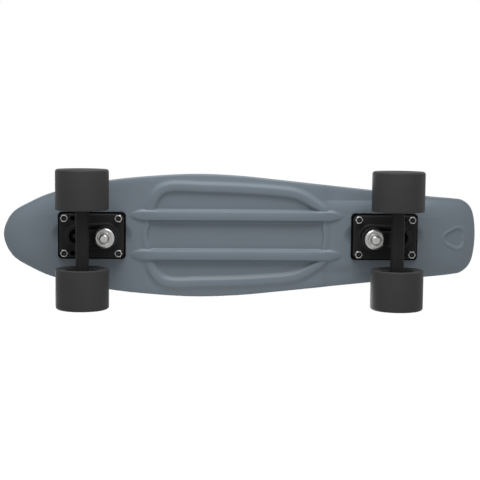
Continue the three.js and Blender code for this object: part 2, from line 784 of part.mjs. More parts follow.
function axleGeometry() {
  return outward(rod(axleDiameter / 2, -axleHalf, axleHalf, mediumSides).rotateX(Math.PI / 2));
}

// The wheel's profile from its bearing seats to its tread; the outer face is towards +Z
function wheelGeometry() {
  const tread = flatsOn(wheelRadius, wheelSides);
  const half = wheelWidth / 2;
  const seat = flatsOn(bearingDiameter / 2 + seatGap, wheelSides);
  const shoulder = spacerShoulderDiameter / 2;
  const mouth = wheelMouthDiameter / 2;
  const [outerRound, innerRound] = [wheelOuterRound, wheelInnerRound];
  const roundShare = 1 - Math.SQRT1_2;
  const shoulderHalf = bearingSpacing / 2 - seatGap;
  const profile = [
    [shoulder, -shoulderHalf], [seat, -shoulderHalf], [seat, -bearingStack / 2],
    [mouth, -half + wheelFaceDish],
    [tread - innerRound, -half], [tread, -half + innerRound], [tread, half - outerRound],
    [tread - outerRound * roundShare, half - outerRound * roundShare], [tread - outerRound, half],
    [mouth, half - wheelFaceDish], [seat, bearingStack / 2], [seat, shoulderHalf], [shoulder, shoulderHalf],
  ];
  const flatDown = Math.PI / wheelSides;
  return turnedRing(profile, wheelSides).rotateZ(flatDown);
}

// The outer race with its two shields, which turn with the wheel
function bearingGeometry() {
  const half = bearingWidth / 2;
  const race = (bearingDiameter / 2 + innerRaceDiameter / 2) / 2 + bearingShieldInset;
  const shield = innerRaceDiameter / 2 + seatGap;
  const profile = [
    [shield, -half + bearingShieldInset], [race, -half + bearingShieldInset], [race, -half],
    [bearingDiameter / 2, -half], [bearingDiameter / 2, half], [race, half],
    [race, half - bearingShieldInset], [shield, half - bearingShieldInset],
  ];
  return turnedRing(profile, mediumSides);
}

// The two inner races, the spacer between them and the speed washers at both ends
function sleeveGeometry() {
  const bore = axleDiameter / 2 + seatGap;
  const race = innerRaceDiameter / 2;
  const washer = speedWasherDiameter / 2;
  const washerFace = bearingStack / 2 + seatGap;
  const profile = [
    [bore, -sleeveHalf], [washer, -sleeveHalf], [washer, -washerFace], [race, -washerFace],
    [race, washerFace], [washer, washerFace], [washer, sleeveHalf], [bore, sleeveHalf],
  ];
  return turnedRing(profile, mediumSides);
}

function piece(name, geometry, finish) {
  const mesh = new THREE.Mesh(geometry, new THREE.MeshStandardMaterial(finishes[finish]));
  mesh.name = name;
  return mesh;
}

// One wheel with its bearings and nut, drawn round the axle with its outer face towards +Z
function wheelSet(end, side, turn) {
  const set = new THREE.Group();
  const name = `${end}_${side}`;
  set.add(piece(`${name}_wheel`, outward(wheelGeometry()), 'wheel'));
  for (const [place, sign] of [['outer', 1], ['inner', -1]]) {
    const bearing = piece(`${name}_${place}_bearing`, outward(bearingGeometry()), 'brightSteel');
    bearing.position.z = sign * (bearingSpacing + bearingWidth) / 2;
    set.add(bearing);
  }
  set.add(piece(`${name}_bearing_sleeve`, outward(sleeveGeometry()), 'brightSteel'));
  const axleNut = piece(`${name}_axle_nut`, nutGeometry(axleNutSizes, smallSides), 'brightSteel');
  axleNut.rotation.x = Math.PI;
  axleNut.position.z = axleNutStart - wheelTrack / 2;
  set.add(axleNut);
  set.rotation.x = (-Math.PI / 2) * turn;
  set.position.set(axleOutset, (wheelTrack / 2) * turn, -axleDrop);
  return set;
}

function fasteners(end) {
  const group = new THREE.Group();
  boltPlaces().forEach(([x, y], i) => {
    const bolt = piece(`${end}_deck_bolt_${i + 1}`, boltGeometry(), 'blackSteel');
    const nut = piece(`${end}_lock_nut_${i + 1}`, nutGeometry(lockNutSizes, smallSides), 'brightSteel');
    bolt.position.set(x, y, 0);
    nut.position.set(x, y, -plateFace - seatGap);
    group.add(bolt, nut);
  });
  return group;
}

// A truck drawn below the deck's underside, its pivot outboard, towards +X
function truck(end, sides) {
  const group = new THREE.Group();
  const riser = piece(`${end}_riser_pad`, riserGeometry(), 'blackRubber');
  riser.position.z = -seatGap / 2;
  const kingpinNut = piece(`${end}_kingpin_nut`, nutGeometry(kingpinNutSizes, mediumSides), 'brightSteel');
  kingpinNut.position.set(-kingpinInset, 0, -kingpinNutStart);
  const axle = piece(`${end}_axle`, axleGeometry(), 'brightSteel');
  axle.position.set(axleOutset, 0, -axleDrop);
  group.add(
    riser,
    piece(`${end}_baseplate`, baseplateGeometry(), 'blackPaint'),
    piece(`${end}_pivot_cup`, pivotCupGeometry(), 'blackRubber'),
    piece(`${end}_kingpin`, kingpinGeometry(), 'brightSteel'),
    piece(`${end}_board_side_washer`, washerGeometry(kingpinSeat + seatGap, -1), 'brightSteel'),
    piece(`${end}_board_side_bushing`, bushingGeometry(
      boardBushingStart, boardBushingHeight, boardBushingWaistDiameter / 2, boardBushingDiameter / 2,
      boardBushingDiameter / 2,
    ), 'bushing'),
    piece(`${end}_road_side_bushing`, bushingGeometry(
      roadBushingStart, roadBushingHeight, roadBushingDiameter / 2, roadBushingSmallDiameter / 2,
      roadBushingSmallDiameter / 2,
    ), 'bushing'),
    piece(`${end}_road_side_washer`, washerGeometry(roadWasherStart, 1), 'brightSteel'),
    kingpinNut,
    piece(`${end}_hanger`, hangerGeometry(), 'blackPaint'),
    axle,
    wheelSet(end, sides[0], 1),
    wheelSet(end, sides[1], -1),
    fasteners(end),
  );
  return group;
}

const skateboard = new THREE.Group();
const deck = piece('deck', deckGeometry(), 'deckPlastic');
deck.position.z = undersideHeight;
const frontTruck = truck('front', ['left', 'right']);
frontTruck.position.set(nosePlatePlace, 0, undersideHeight);
const rearTruck = truck('rear', ['right', 'left']);
rearTruck.position.set(-tailPlatePlace, 0, undersideHeight);
rearTruck.rotation.z = Math.PI;
skateboard.add(deck, frontTruck, rearTruck);

export default skateboard;
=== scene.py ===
# A small moulded plastic cruiser skateboard, dressed round its frame.
# Metres, +Z up, the nose towards +X, the origin on the ground below the middle of the board.
import json
import math
import bmesh
import bpy
import numpy as np
from mathutils import Euler, Matrix, Vector


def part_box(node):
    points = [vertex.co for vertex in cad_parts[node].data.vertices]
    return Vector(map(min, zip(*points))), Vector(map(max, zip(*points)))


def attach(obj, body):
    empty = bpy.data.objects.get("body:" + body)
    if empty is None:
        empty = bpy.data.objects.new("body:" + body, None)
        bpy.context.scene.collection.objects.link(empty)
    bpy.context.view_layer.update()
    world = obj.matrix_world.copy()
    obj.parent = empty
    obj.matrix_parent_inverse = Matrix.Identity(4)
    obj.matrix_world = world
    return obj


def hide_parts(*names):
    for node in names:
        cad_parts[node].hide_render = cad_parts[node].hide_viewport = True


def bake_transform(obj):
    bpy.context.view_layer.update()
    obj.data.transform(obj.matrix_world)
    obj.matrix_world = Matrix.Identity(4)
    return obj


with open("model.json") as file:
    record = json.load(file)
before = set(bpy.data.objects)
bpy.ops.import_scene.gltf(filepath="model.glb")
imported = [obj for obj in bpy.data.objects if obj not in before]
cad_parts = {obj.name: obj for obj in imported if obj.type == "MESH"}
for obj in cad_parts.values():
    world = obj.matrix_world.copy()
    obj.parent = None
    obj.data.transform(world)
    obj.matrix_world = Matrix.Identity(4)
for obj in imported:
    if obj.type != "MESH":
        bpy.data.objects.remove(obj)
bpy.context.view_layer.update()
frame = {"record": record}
BODY_OF = {
    node: body
    for body, nodes in frame["record"]["behaviour"]["bodies"].items()
    for node in nodes
}


# Places and sizes read from the frame


def middle_of(node):
    low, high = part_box(node)
    return (low + high) / 2


def size_of(node):
    low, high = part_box(node)
    return high - low


SEAT_GAP = 0.0003
DECK_SIZE = size_of("deck")
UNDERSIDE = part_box("front_riser_pad")[1].z + SEAT_GAP / 2
FRONT_PLACE = Vector((middle_of("front_riser_pad").x, 0, UNDERSIDE))
REAR_PLACE = Vector((middle_of("rear_riser_pad").x, 0, UNDERSIDE))
TRUCK_PLACES = {
    "front": Matrix.Translation(FRONT_PLACE),
    "rear": Matrix.Translation(REAR_PLACE) @ Matrix.Rotation(math.pi, 4, "Z"),
}


def local_box(node):
    """The lowest and highest corners of a front truck's node, from the truck's place under the deck."""
    low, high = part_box("front_" + node)
    return low - FRONT_PLACE, high - FRONT_PLACE


RISER_SIZE = size_of("front_riser_pad")
PLATE_SIZE = size_of("front_baseplate")
WASHER_SIZE = size_of("front_road_side_washer")
CUP_SIZE = size_of("front_pivot_cup")
AXLE_LENGTH = size_of("front_axle").y
WHEEL_SIZE = size_of("front_left_wheel")
KINGPIN_X = middle_of("front_kingpin_nut").x - FRONT_PLACE.x
PIVOT_X = middle_of("front_pivot_cup").x - FRONT_PLACE.x
AXLE_X = middle_of("front_axle").x - FRONT_PLACE.x
AXLE_Z = middle_of("front_axle").z - FRONT_PLACE.z
BOLT_X = middle_of("front_deck_bolt_1").x - FRONT_PLACE.x
BOLT_Y = middle_of("front_deck_bolt_1").y
WHEEL_TRACK = middle_of("front_left_wheel").y - middle_of("front_right_wheel").y

# Deck, a moulded board with a rounded nose and a kicked tail
DECK_WALL = 0.007
DECK_EDGE_LIFT = 0.004
UNDERSIDE_EDGE_LIFT = 0.0012
RIM_POWER = 0.55
NOSE_RISE = 0.008
NOSE_RISE_LENGTH = 0.062
TAIL_KICK = 0.020
TAIL_KICK_LENGTH = 0.071
NOSE_HUB_INSET = 0.049
TAIL_HUB_INSET = 0.046
UNDERSIDE_FLAT_SHARE = 0.86
UNDERSIDE_END_FLAT_SHARE = 0.25
UNDERSIDE_END_START = 0.150
UNDERSIDE_END_FADE = 0.080
TOP_FLAT_SHARE = 0.35
OUTLINE_SHARES = [
    (0.5, 0), (0.4945, 0.0905), (0.478, 0.185), (0.4445, 0.2626), (0.4028, 0.3347), (0.335, 0.4027),
    (0.2728, 0.4483), (0.185, 0.483), (0.0965, 0.5), (0.0088, 0.4878), (-0.0798, 0.4551),
    (-0.1684, 0.4197), (-0.258, 0.3844), (-0.3935, 0.3313), (-0.4475, 0.313), (-0.4655, 0.302),
    (-0.4836, 0.2565), (-0.4937, 0.189), (-0.5, 0),
]
DECK_STATIONS = 1000
UNDERSIDE_LINES = 70
RIM_LINES = 12
TOP_LINES = 8
# The underside's lines run level along the ribs and lie closest on their flanks;
# past the ribs they share out the rest of the wall
RIB_LINE_PLACES = [0, 0.0146, 0.0206, 0.0266, 0.0328]
RIB_LINE_COUNTS = [0, 8, 18, 24, 35]
# The stations stand closest where the pocket and the ribs end
STATION_PLACES = [0.285, 0.150, 0.105, -0.084, -0.128, -0.285]
STATION_COUNTS = [0, 108, 176, 306, 372, 500]

# Relief under the deck
POCKET_DEPTH = 0.0016
RIDGE_HEIGHT = 0.0025
RIDGE_INSIDE = 0.0087
RIDGE_OUTSIDE = 0.0108
RIDGE_CREST_INSIDE = 0.0028
RIDGE_CREST_OUTSIDE = 0.0032
RIDGE_CROWN_SHARE = 0.08
RIDGE_CROWN_PLACE = 0.0014
RIDGE_EASE = 0.34
RIDGE_SHARES = [
    (0.2025, 0), (0.2010, 0.05), (0.1975, 0.10), (0.1940, 0.17), (0.1912, 0.24), (0.1828, 0.31),
    (0.1705, 0.361), (0.151, 0.386), (0.09, 0.3835), (0.0065, 0.374), (-0.0667, 0.356),
    (-0.105, 0.338), (-0.1285, 0.3040), (-0.1488, 0.2545), (-0.1640, 0.2160), (-0.1698, 0.1820),
    (-0.1690, 0.10), (-0.1720, 0),
]
# Between the ribs the ridge runs out into the low steps that end the pocket
RIDGE_LOW_SHARE = 0.10
RIDGE_NOSE_WIDE_SHARE = 0.215
RIDGE_TAIL_WIDE_SHARE = 0.33
RIDGE_NOSE_FULL_SHARE = 0.40
RIDGE_TAIL_FULL_SHARE = 0.24
RIDGE_LOW_FULLNESS = 0.34
RIDGE_LOW_WALL_SHARE = 0.34
RIDGE_LOW_SLOPE_SHARE = 0.75
RIB_SPACING = 0.0472
RIB_HALF_WIDTH = 0.0084
RIB_FLANK_SHARE = 0.46
RIB_TIP_FLANK_SHARE = 0.70
RIB_FLANK_EASE = 0.28
RIB_CROWN_SHARE = 0.22
RIB_HEIGHT = 0.0052
RIB_BLUNT_LENGTH = 0.018
RIB_RISE_LENGTH = 0.046
RIB_RISE_POWER = 1.7
RIB_NOSE_GAP = 0.0046
RIB_TAIL_GAP = 0.0098
RELIEF_BLEND = 0.0006
SCOOP_RADIUS = 0.0140
SCOOP_REACH = 0.0082
SCOOP_DRAFT = 0.0078
SCOOP_CORNER = 0.025
SCOOP_DEPTH = 0.0030
MARGIN_LENGTH = 0.150
MARGIN_END_INSET = 0.049
MARGIN_FADE = 0.024
MARGIN_ROLL_START = 0.0300
MARGIN_HALF_WIDTH = 0.0430
MARGIN_ROLL_DEPTH = 0.0021
MARGIN_FOOT = 0.060
MARGIN_DEPTH = 0.0026
TAIL_MARK_INSET = 0.0278
TAIL_MARK_SIDE = -0.0022
TAIL_MARK_RADIUS = 0.0112
TAIL_MARK_WIDTH_SHARE = 0.88
TAIL_MARK_CORNERS = 3
TAIL_MARK_CORNER_SHARE = 0.12
TAIL_MARK_RIM_SHARE = 1.28
TAIL_MARK_RIM_HEIGHT = 0.0006
TAIL_MARK_RIM_HALF_WIDTH = 0.0026
TAIL_MARK_DEPTH = 0.0010
TAIL_MARK_EASE = 0.0024

# Low pads moulded on the top for grip
PAD_PITCH = 0.0064
PAD_HALF_DIAGONAL = 0.0029
PAD_TOP_SHARE = 0.76
PAD_HEIGHT = 0.00055
PAD_ROOT = 0.0003
PAD_EDGE_MARGIN = 0.0075
PAD_BOLT_MARGIN = 0.0075

# Bolts and nuts
BOLT_HOLE_RADIUS = 0.00275
BOLT_RADIUS = 0.0024
BOLT_HEAD_RADIUS = 0.0047
BOLT_HEAD_HEIGHT = 0.0026
BOLT_HEAD_RIM = 0.0004
RECESS_LENGTH = 0.0052
RECESS_WIDTH = 0.0011
RECESS_DEPTH = 0.0017
RECESS_TIP_SHARE = 0.5
THREAD_PITCH = 0.0008
THREAD_DEPTH_SHARE = 0.6
NUT_CHAMFER_SHARE = 0.9
# A nut's rolled crown: its height as a share of the nut's, and its radius as a share of half the width
LOCK_NUT_CROWN = (0.3, 0.985)
KINGPIN_NUT_CROWN = (0.23, 0.853)
AXLE_NUT_CROWN = (0.234, 0.898)
CROWN_OUTER_ROUND_SHARE = 0.9
CROWN_INNER_ROUND_SHARE = 0.3
INSERT_EDGE_SHARE = 0.4
INSERT_BORE_SHARE = 0.55

# Riser pad and baseplate
RISER_CORNER = 0.005
RISER_BEVEL = 0.0006
PLATE_CORNER = 0.0055
PLATE_BEVEL = 0.0012
PLATE_THICKNESS = 0.005
SPARE_HOLE_INSET = 0.0095
BOSS_HEIGHT = 0.006
KINGPIN_BOSS_RADIUS = 0.0148
KINGPIN_BOSS_WALL = 0.0024
KINGPIN_SEAT_HEIGHT = 0.002
KINGPIN_SEAT_RADIUS = 0.0123
PIVOT_BOSS_RADIUS = 0.0134
PIVOT_BOSS_DRAFT = 0.0005
PIVOT_BOSS_HEIGHT = 0.009
POCKET_NECK_SHARE = 0.8
KINGPIN_HEAD_ACROSS = 0.014
KINGPIN_HEAD_SHARE = 0.8

# Pivot
PIVOT_DROP = 0.0125
PIVOT_BALL_RADIUS = 0.0049
PIVOT_NECK_RADIUS = 0.0042
PIVOT_NECK_SPREAD = 1.15
PIVOT_RUNNING_GAP = 0.00035
SOCKET_ROUND_SHARE = 0.95

# Kingpin, bushings and hanger
KINGPIN_RADIUS = 0.00475
KINGPIN_BORE_GAP = 0.0003
WASHER_THICKNESS = 0.0015
BUSHING_EDGE = 0.0012
# Each bushing's waist and its road end, as shares of its radius at the board end
BUSHING_SHARES = {"board_side_bushing": (0.89, 1), "road_side_bushing": (0.835, 0.835)}
RING_RADIUS = 0.0136
RING_THICKNESS = 0.007
RING_BORE_RADIUS = 0.0066
RING_SEAT_RADIUS = 0.0116
RING_SEAT_DEPTH = 0.001
WASHER_SWEEP = 0.003
BAR_WIDTH = 0.0146
BAR_DEPTH = 0.0154
BAR_CORNER = 0.0042
HANGER_HALF = 0.0436
WEB_WIDTH = 0.017
WEB_SHOULDER_SHARE = 0.6
GUSSET_LENGTH = 0.017
GUSSET_DROP = 0.012
GUSSET_WIDTH = 0.009
AXLE_RADIUS = 0.004
AXLE_BORE_GAP = 0.0003
CAST_VOXEL = 0.0006
CAST_SMOOTHING = 5
CAST_FACE_SHARE = 0.4
CUT_OVERRUN = 0.004

# Wheels and bearings, from the middle of the wheel outwards
WHEEL_OUTER_ROUND = 0.0055
WHEEL_OUTER_SLOPE_SHARE = 1.1
WHEEL_INNER_ROUND = 0.003
WHEEL_INNER_RIM_SHARE = 0.6
WHEEL_MOUTH_RADIUS = 0.0195
WHEEL_MOUTH_ROUND = 0.0022
WHEEL_FACE_DISH = 0.0012
WHEEL_LEDGE = 0.0016
BEARING_RADIUS = 0.011
BEARING_WIDTH = 0.007
BEARING_SPACING = 0.010
BEARING_CHAMFER = 0.0004
SHIELD_INSET = 0.0005
SHIELD_CRIMP_SHARE = 0.6
INNER_RACE_RADIUS = 0.006
SPACER_SHOULDER_RADIUS = 0.009
SPACER_RADIUS = 0.0052
SPEED_WASHER_RADIUS = 0.0063
SPEED_WASHER_THICKNESS = 0.001
BEARING_STACK = BEARING_WIDTH * 2 + BEARING_SPACING

# Drawing steps
FINE_SIDES = 128
ROUND_SIDES = 64
BOLT_SIDES = 32
ARC_STEPS = 6
CURVE_STEPS = 24
WELD = 0.00002
SMOOTH_ANGLE = math.radians(32)


# Working by hand in edit mode


def only(piece):
    bpy.ops.object.select_all(action="DESELECT")
    piece.select_set(True)
    bpy.context.view_layer.objects.active = piece
    return piece


def choose(piece, kind, test):
    """In edit mode, selects only the faces, edges or verts whose middle and self pass a test."""
    mesh = bmesh.from_edit_mesh(piece.data)
    bpy.ops.mesh.select_all(action="DESELECT")
    for part in getattr(mesh, kind):
        middle = part.co if kind == "verts" else sum((v.co for v in part.verts), Vector()) / len(part.verts)
        if test(middle, part):
            part.select_set(True)
    mesh.select_flush_mode()
    bmesh.update_edit_mesh(piece.data)


def start_edit(piece, kind="VERT"):
    only(piece)
    bpy.ops.object.mode_set(mode="EDIT")
    bpy.ops.mesh.select_mode(type=kind)


def end_edit():
    bpy.ops.object.mode_set(mode="OBJECT")


def settle(piece):
    """Puts a piece's place, turn and size into its mesh."""
    only(piece)
    bpy.ops.object.transform_apply(location=True, rotation=True, scale=True)
    return piece


def added(operator, **settings):
    """A primitive that is the only selected object, with its place in its mesh."""
    bpy.ops.object.select_all(action="DESELECT")
    operator(**settings)
    return settle(bpy.context.object)


def weld(piece):
    start_edit(piece)
    bpy.ops.mesh.select_all(action="SELECT")
    bpy.ops.mesh.remove_doubles(threshold=WELD)
    bpy.ops.mesh.normals_make_consistent(inside=False)
    end_edit()
    return piece


def apply_modifier(piece, kind, **settings):
    only(piece)
    modifier = piece.modifiers.new(kind.lower(), kind)
    for name, value in settings.items():
        setattr(modifier, name, value)
    bpy.ops.object.modifier_apply(modifier=modifier.name)
    return piece


def combine(piece, other, operation):
    """Joins another body to a piece, or cuts the piece by it; the other body is used up."""
    apply_modifier(piece, "BOOLEAN", operation=operation, object=other, solver="MANIFOLD")
    bpy.data.objects.remove(other)
    return piece


def cut(piece, cutter):
    return combine(piece, cutter, "DIFFERENCE")


def gathered(pieces):
    """Several bodies as one object, each still a closed shell of its own."""
    bpy.ops.object.select_all(action="DESELECT")
    for piece in pieces:
        piece.select_set(True)
    bpy.context.view_layer.objects.active = pieces[0]
    bpy.ops.object.join()
    return bpy.context.object


def smooth(piece):
    only(piece)
    bpy.ops.object.shade_smooth_by_angle(angle=SMOOTH_ANGLE)
    return piece


def shifted(piece, place):
    piece.data.transform(Matrix.Translation(place))
    return piece


def turned_to(piece, rotation, place):
    piece.data.transform(Matrix.Translation(place) @ rotation)
    return piece


def rounded(corners):
    """The points of a closed profile whose (radius, height, rounding) corners are drawn as arcs."""
    points = []
    count = len(corners)
    for i, (x, y, rounding) in enumerate(corners):
        corner = Vector((x, y))
        if not rounding:
            points.append(corner)
            continue
        before = Vector(corners[i - 1][:2]) - corner
        after = Vector(corners[(i + 1) % count][:2]) - corner
        half_angle = before.angle(after) / 2
        reach = min(rounding / math.tan(half_angle), before.length / 2, after.length / 2)
        start, end = before.normalized() * reach, after.normalized() * reach
        middle = (start + end).normalized() * (reach / math.cos(half_angle))
        sweep = (start - middle).angle_signed(end - middle)
        for step in range(ARC_STEPS + 1):
            turn = Matrix.Rotation(-sweep * step / ARC_STEPS, 2)
            points.append(corner + middle + turn @ (start - middle))
    return points


def drawn(points, level, closed=True):
    """A line drawn through (x, z) points at one level along Y, left selected in edit mode."""
    start = (points[0][0], level, points[0][1])
    line = added(bpy.ops.mesh.primitive_plane_add, size=SEAT_GAP, location=start)
    start_edit(line)
    bpy.ops.mesh.merge(type="CENTER")
    for (x, z), (next_x, next_z) in zip(points, points[1:] + points[:1] * closed):
        step = (next_x - x, 0, next_z - z)
        bpy.ops.mesh.extrude_vertices_move(TRANSFORM_OT_translate={"value": step})
    bpy.ops.mesh.select_all(action="SELECT")
    bpy.ops.mesh.remove_doubles(threshold=WELD)
    return line


def turned(corners, sides=ROUND_SIDES, closed=True):
    """A body turned on the Z axis: its profile is drawn point by point and spun round."""
    body = drawn(rounded(corners), 0, closed)
    bpy.ops.mesh.spin(steps=sides, angle=math.tau, center=(0, 0, 0), axis=(0, 0, 1))
    end_edit()
    weld(body)
    lathe = body.data.attributes.new("lathe", "FLOAT", "POINT")
    lathe.data.foreach_set("value", [v.co.xy.length + abs(v.co.z) for v in body.data.vertices])
    return body


def turned_solid(corners, sides=ROUND_SIDES):
    """A turned body without a bore: its profile starts and ends on the axis."""
    return turned(corners, sides, closed=False)


def rod(radius, low, high, sides=ROUND_SIDES):
    return turned_solid([(0, low, 0), (radius, low, 0), (radius, high, 0), (0, high, 0)], sides)


def both_ways(corners):
    """A closed profile from the corners of its upper half, each (radius, height, rounding)."""
    return corners + [(x, -y, rounding) for x, y, rounding in reversed(corners)]


def block(size, middle):
    return added(bpy.ops.mesh.primitive_cube_add, size=1, location=middle, scale=size)


def hexagon(across, depth, middle):
    return added(
        bpy.ops.mesh.primitive_cylinder_add, vertices=6, radius=across / math.sqrt(3), depth=depth,
        location=middle, rotation=(0, 0, math.pi / 6),
    )


def rounded_block(size, middle, corner, edge, axis=2):
    """A bar or plate with round corners along one axis and softened rims."""
    body = block(size, middle)
    start_edit(body, "EDGE")
    side = [i for i in range(3) if i != axis]
    middle = Vector(middle)
    choose(body, "edges", lambda m, e: all(abs((m - middle)[i]) > size[i] / 2 - WELD for i in side))
    bpy.ops.mesh.bevel(offset=corner, segments=ARC_STEPS * 2, affect="EDGES")
    choose(body, "edges", lambda m, e: all(
        abs(abs((v.co - middle)[axis]) - size[axis] / 2) < WELD for v in e.verts))
    bpy.ops.mesh.bevel(offset=edge, segments=3, affect="EDGES")
    end_edit()
    return body


def slab(points, width):
    """An outline of (x, z) points, drawn, filled, and made a body of some width along Y."""
    body = drawn(points, -width / 2)
    bpy.ops.mesh.select_all(action="SELECT")
    bpy.ops.mesh.edge_face_add()
    bpy.ops.mesh.extrude_region_move(TRANSFORM_OT_translate={"value": (0, width, 0)})
    end_edit()
    return weld(body)


def hull_of(pieces):
    """The body stretched round several others."""
    body = gathered(pieces)
    start_edit(body)
    bpy.ops.mesh.select_all(action="SELECT")
    bpy.ops.mesh.convex_hull()
    end_edit()
    return body


def cast(parts, cutters=()):
    """Fuses bodies into one casting with soft inner and outer corners, after its pockets are cut."""
    body = parts[0]
    for part in parts[1:]:
        combine(body, part, "UNION")
    for cutter in cutters:
        cut(body, cutter)
    apply_modifier(body, "REMESH", mode="VOXEL", voxel_size=CAST_VOXEL)
    apply_modifier(body, "SMOOTH", factor=0.5, iterations=CAST_SMOOTHING)
    apply_modifier(body, "DECIMATE", ratio=CAST_FACE_SHARE)
    return body


def stand_in(model, name, place, node, slot, held=None):
    """A finished copy of a model that stands for a CAD node; a soft one, given the bodies that hold it,
    keeps its place and is not attached to a body.
    """
    piece = model.copy()
    piece.data = model.data.copy()
    piece.name = name
    piece.data.name = name
    bpy.context.scene.collection.objects.link(piece)
    piece.data.transform(place)
    piece.data.materials.clear()
    piece.data.materials.append(FINISHES[slot])
    if held is None:
        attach(piece, BODY_OF[node])
    else:
        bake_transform(piece)
    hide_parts(node)
    return piece


# Finishes


def plain_colour(red, green, blue):
    """A screen colour, 0 to 255, as the linear colour that a shader takes."""
    parts = [value / 255 for value in (red, green, blue)]
    linear = [v / 12.92 if v <= 0.04045 else ((v + 0.055) / 1.055) ** 2.4 for v in parts]
    return (*linear, 1)


def grey(value):
    return plain_colour(value, value, value)


class Socket:
    """The output of a node; sums written with it add the nodes that work them out."""

    def __init__(self, graph, output):
        self.graph = graph
        self.output = output

    def __add__(self, other):
        return self.graph.maths("ADD", self, other)

    def __rsub__(self, other):
        return self.graph.maths("SUBTRACT", other, self)

    def __mul__(self, other):
        return self.graph.maths("MULTIPLY", self, other)

    def most(self, other):
        return self.graph.maths("MAXIMUM", self, other)

    __radd__ = __add__
    __rmul__ = __mul__


class Graph:
    """A node tree written as plain expressions."""

    def __init__(self, tree):
        self.tree = tree
        tree.nodes.clear()

    def node(self, kind, settings=None, inputs=None, output=0):
        made = self.tree.nodes.new(kind)
        for name, value in (settings or {}).items():
            setattr(made, name, value)
        for name, value in (inputs or {}).items():
            if isinstance(value, Socket):
                self.tree.links.new(value.output, made.inputs[name])
            else:
                made.inputs[name].default_value = value
        return Socket(self, made.outputs[output]) if made.outputs else made

    def maths(self, operation, *values):
        return self.node("ShaderNodeMath", {"operation": operation}, dict(enumerate(values)))

    def mix(self, share, first, second):
        """A colour between two others."""
        return self.node("ShaderNodeMix", {"data_type": "RGBA"}, {0: share, 6: first, 7: second}, output=2)

    def noise(self, scale):
        place = self.node("ShaderNodeTexCoord", output="Object")
        return self.node("ShaderNodeTexNoise", inputs={"Vector": place, "Scale": scale, "Detail": 2.0})

    def attribute(self, name):
        return self.node("ShaderNodeAttribute", {"attribute_name": name}, output="Fac")

    def lathe_marks(self, scale):
        """Fine rings round a turned piece, along the attribute that holds its profile."""
        along = self.attribute("lathe") * scale
        return self.node("ShaderNodeTexNoise", {"noise_dimensions": "1D"}, {"W": along, "Detail": 3.0})


def finish(name, paint, specular, relief, metallic=0.0):
    """A material whose colour, roughness and relief come from a function of its graph."""
    material = bpy.data.materials.new(name)
    material.use_nodes = True
    graph = Graph(material.node_tree)
    varied, height = paint(graph)
    bump = graph.node("ShaderNodeBump", inputs={"Height": height, "Distance": relief, "Strength": 1.0})
    even = {"Specular IOR Level": specular, "Metallic": metallic}
    shader = graph.node("ShaderNodeBsdfPrincipled", inputs={**even, **varied, "Normal": bump})
    graph.node("ShaderNodeOutputMaterial", inputs={"Surface": shader})
    return material


def plain_grey(scale, dark, light, rough, spread):
    """A paint whose greys, roughness and relief all follow one noise."""

    def paint(graph):
        grain = graph.noise(scale)
        colour = graph.mix(grain, grey(dark), grey(light))
        return {"Base Color": colour, "Roughness": rough + grain * spread}, grain

    return paint


def moulded_plastic(graph):
    cloud = graph.noise(9.0)
    fleck = graph.noise(420.0)
    grain = graph.noise(1500.0)
    tint = cloud * 0.7 + fleck * 0.3
    colour = graph.mix(tint, plain_colour(98, 108, 116), plain_colour(108, 118, 126))
    return {"Base Color": colour, "Roughness": 0.4 + grain * 0.12}, grain


def powder_coat(graph):
    skin = graph.noise(620.0)
    cloud = graph.noise(60.0)
    colour = graph.mix(cloud, grey(31), grey(37))
    return {"Base Color": colour, "Roughness": 0.42 + skin * 0.2}, skin


def zinc_plate(graph):
    cloud = graph.noise(240.0)
    marks = graph.lathe_marks(4200.0)
    insert = graph.attribute("insert")
    plate = graph.mix(cloud, plain_colour(143, 144, 146), plain_colour(188, 186, 182))
    colour = graph.mix(insert, plate, grey(30))
    rough = 0.36 + marks * 0.14 + insert * 0.2
    return {"Base Color": colour, "Roughness": rough, "Metallic": 1 - insert}, marks


def wheel_urethane(graph):
    cloud = graph.noise(45.0)
    marks = graph.lathe_marks(1500.0)
    grain = graph.noise(1100.0)
    colour = graph.mix(cloud, grey(51), grey(56))
    return {"Base Color": colour, "Roughness": 0.5 + grain * 0.12}, marks * 0.6 + grain * 0.4


RUBBER = plain_grey(scale=900.0, dark=2, light=7, rough=0.72, spread=0.15)
OXIDE = plain_grey(scale=300.0, dark=28, light=46, rough=0.36, spread=0.2)
BUSHING = plain_grey(scale=140.0, dark=24, light=33, rough=0.45, spread=0.1)
FINISHES = {
    "deck_plastic": finish("satin moulded plastic", moulded_plastic, specular=0.32, relief=0.00004),
    "black_rubber": finish("black rubber", RUBBER, specular=0.04, relief=0.00008),
    "black_paint": finish("black powder coat", powder_coat, specular=0.1, relief=0.00007),
    "black_steel": finish("black oxide steel", OXIDE, specular=0.3, relief=0.00002, metallic=0.6),
    "bright_steel": finish("zinc plated steel", zinc_plate, specular=0.3, relief=0.00001),
    "bushing_urethane": finish("black bushing", BUSHING, specular=0.15, relief=0.00003),
    "wheel_urethane": finish("grey wheel urethane", wheel_urethane, specular=0.12, relief=0.00003),
}


# Deck


def soft_step(share, ease=0.5):
    """Rises from 0 to 1 along a straight flank with eased ends."""
    t = np.clip(share, 0, 1)
    slope = 1 / (1 - ease)
    foot = slope * t * t / (2 * ease)
    straight = slope * (t - ease / 2)
    head = 1 - slope * (1 - t) ** 2 / (2 * ease)
    return np.where(t < ease, foot, np.where(t > 1 - ease, head, straight))


def smooth_most(first, second, fillet_share):
    """The larger of two heights, with a small fillet where they meet."""
    share = np.clip((RELIEF_BLEND - np.abs(first - second)) / RELIEF_BLEND, 0, 1)
    return np.maximum(first, second) + share * share * fillet_share * RELIEF_BLEND / 4


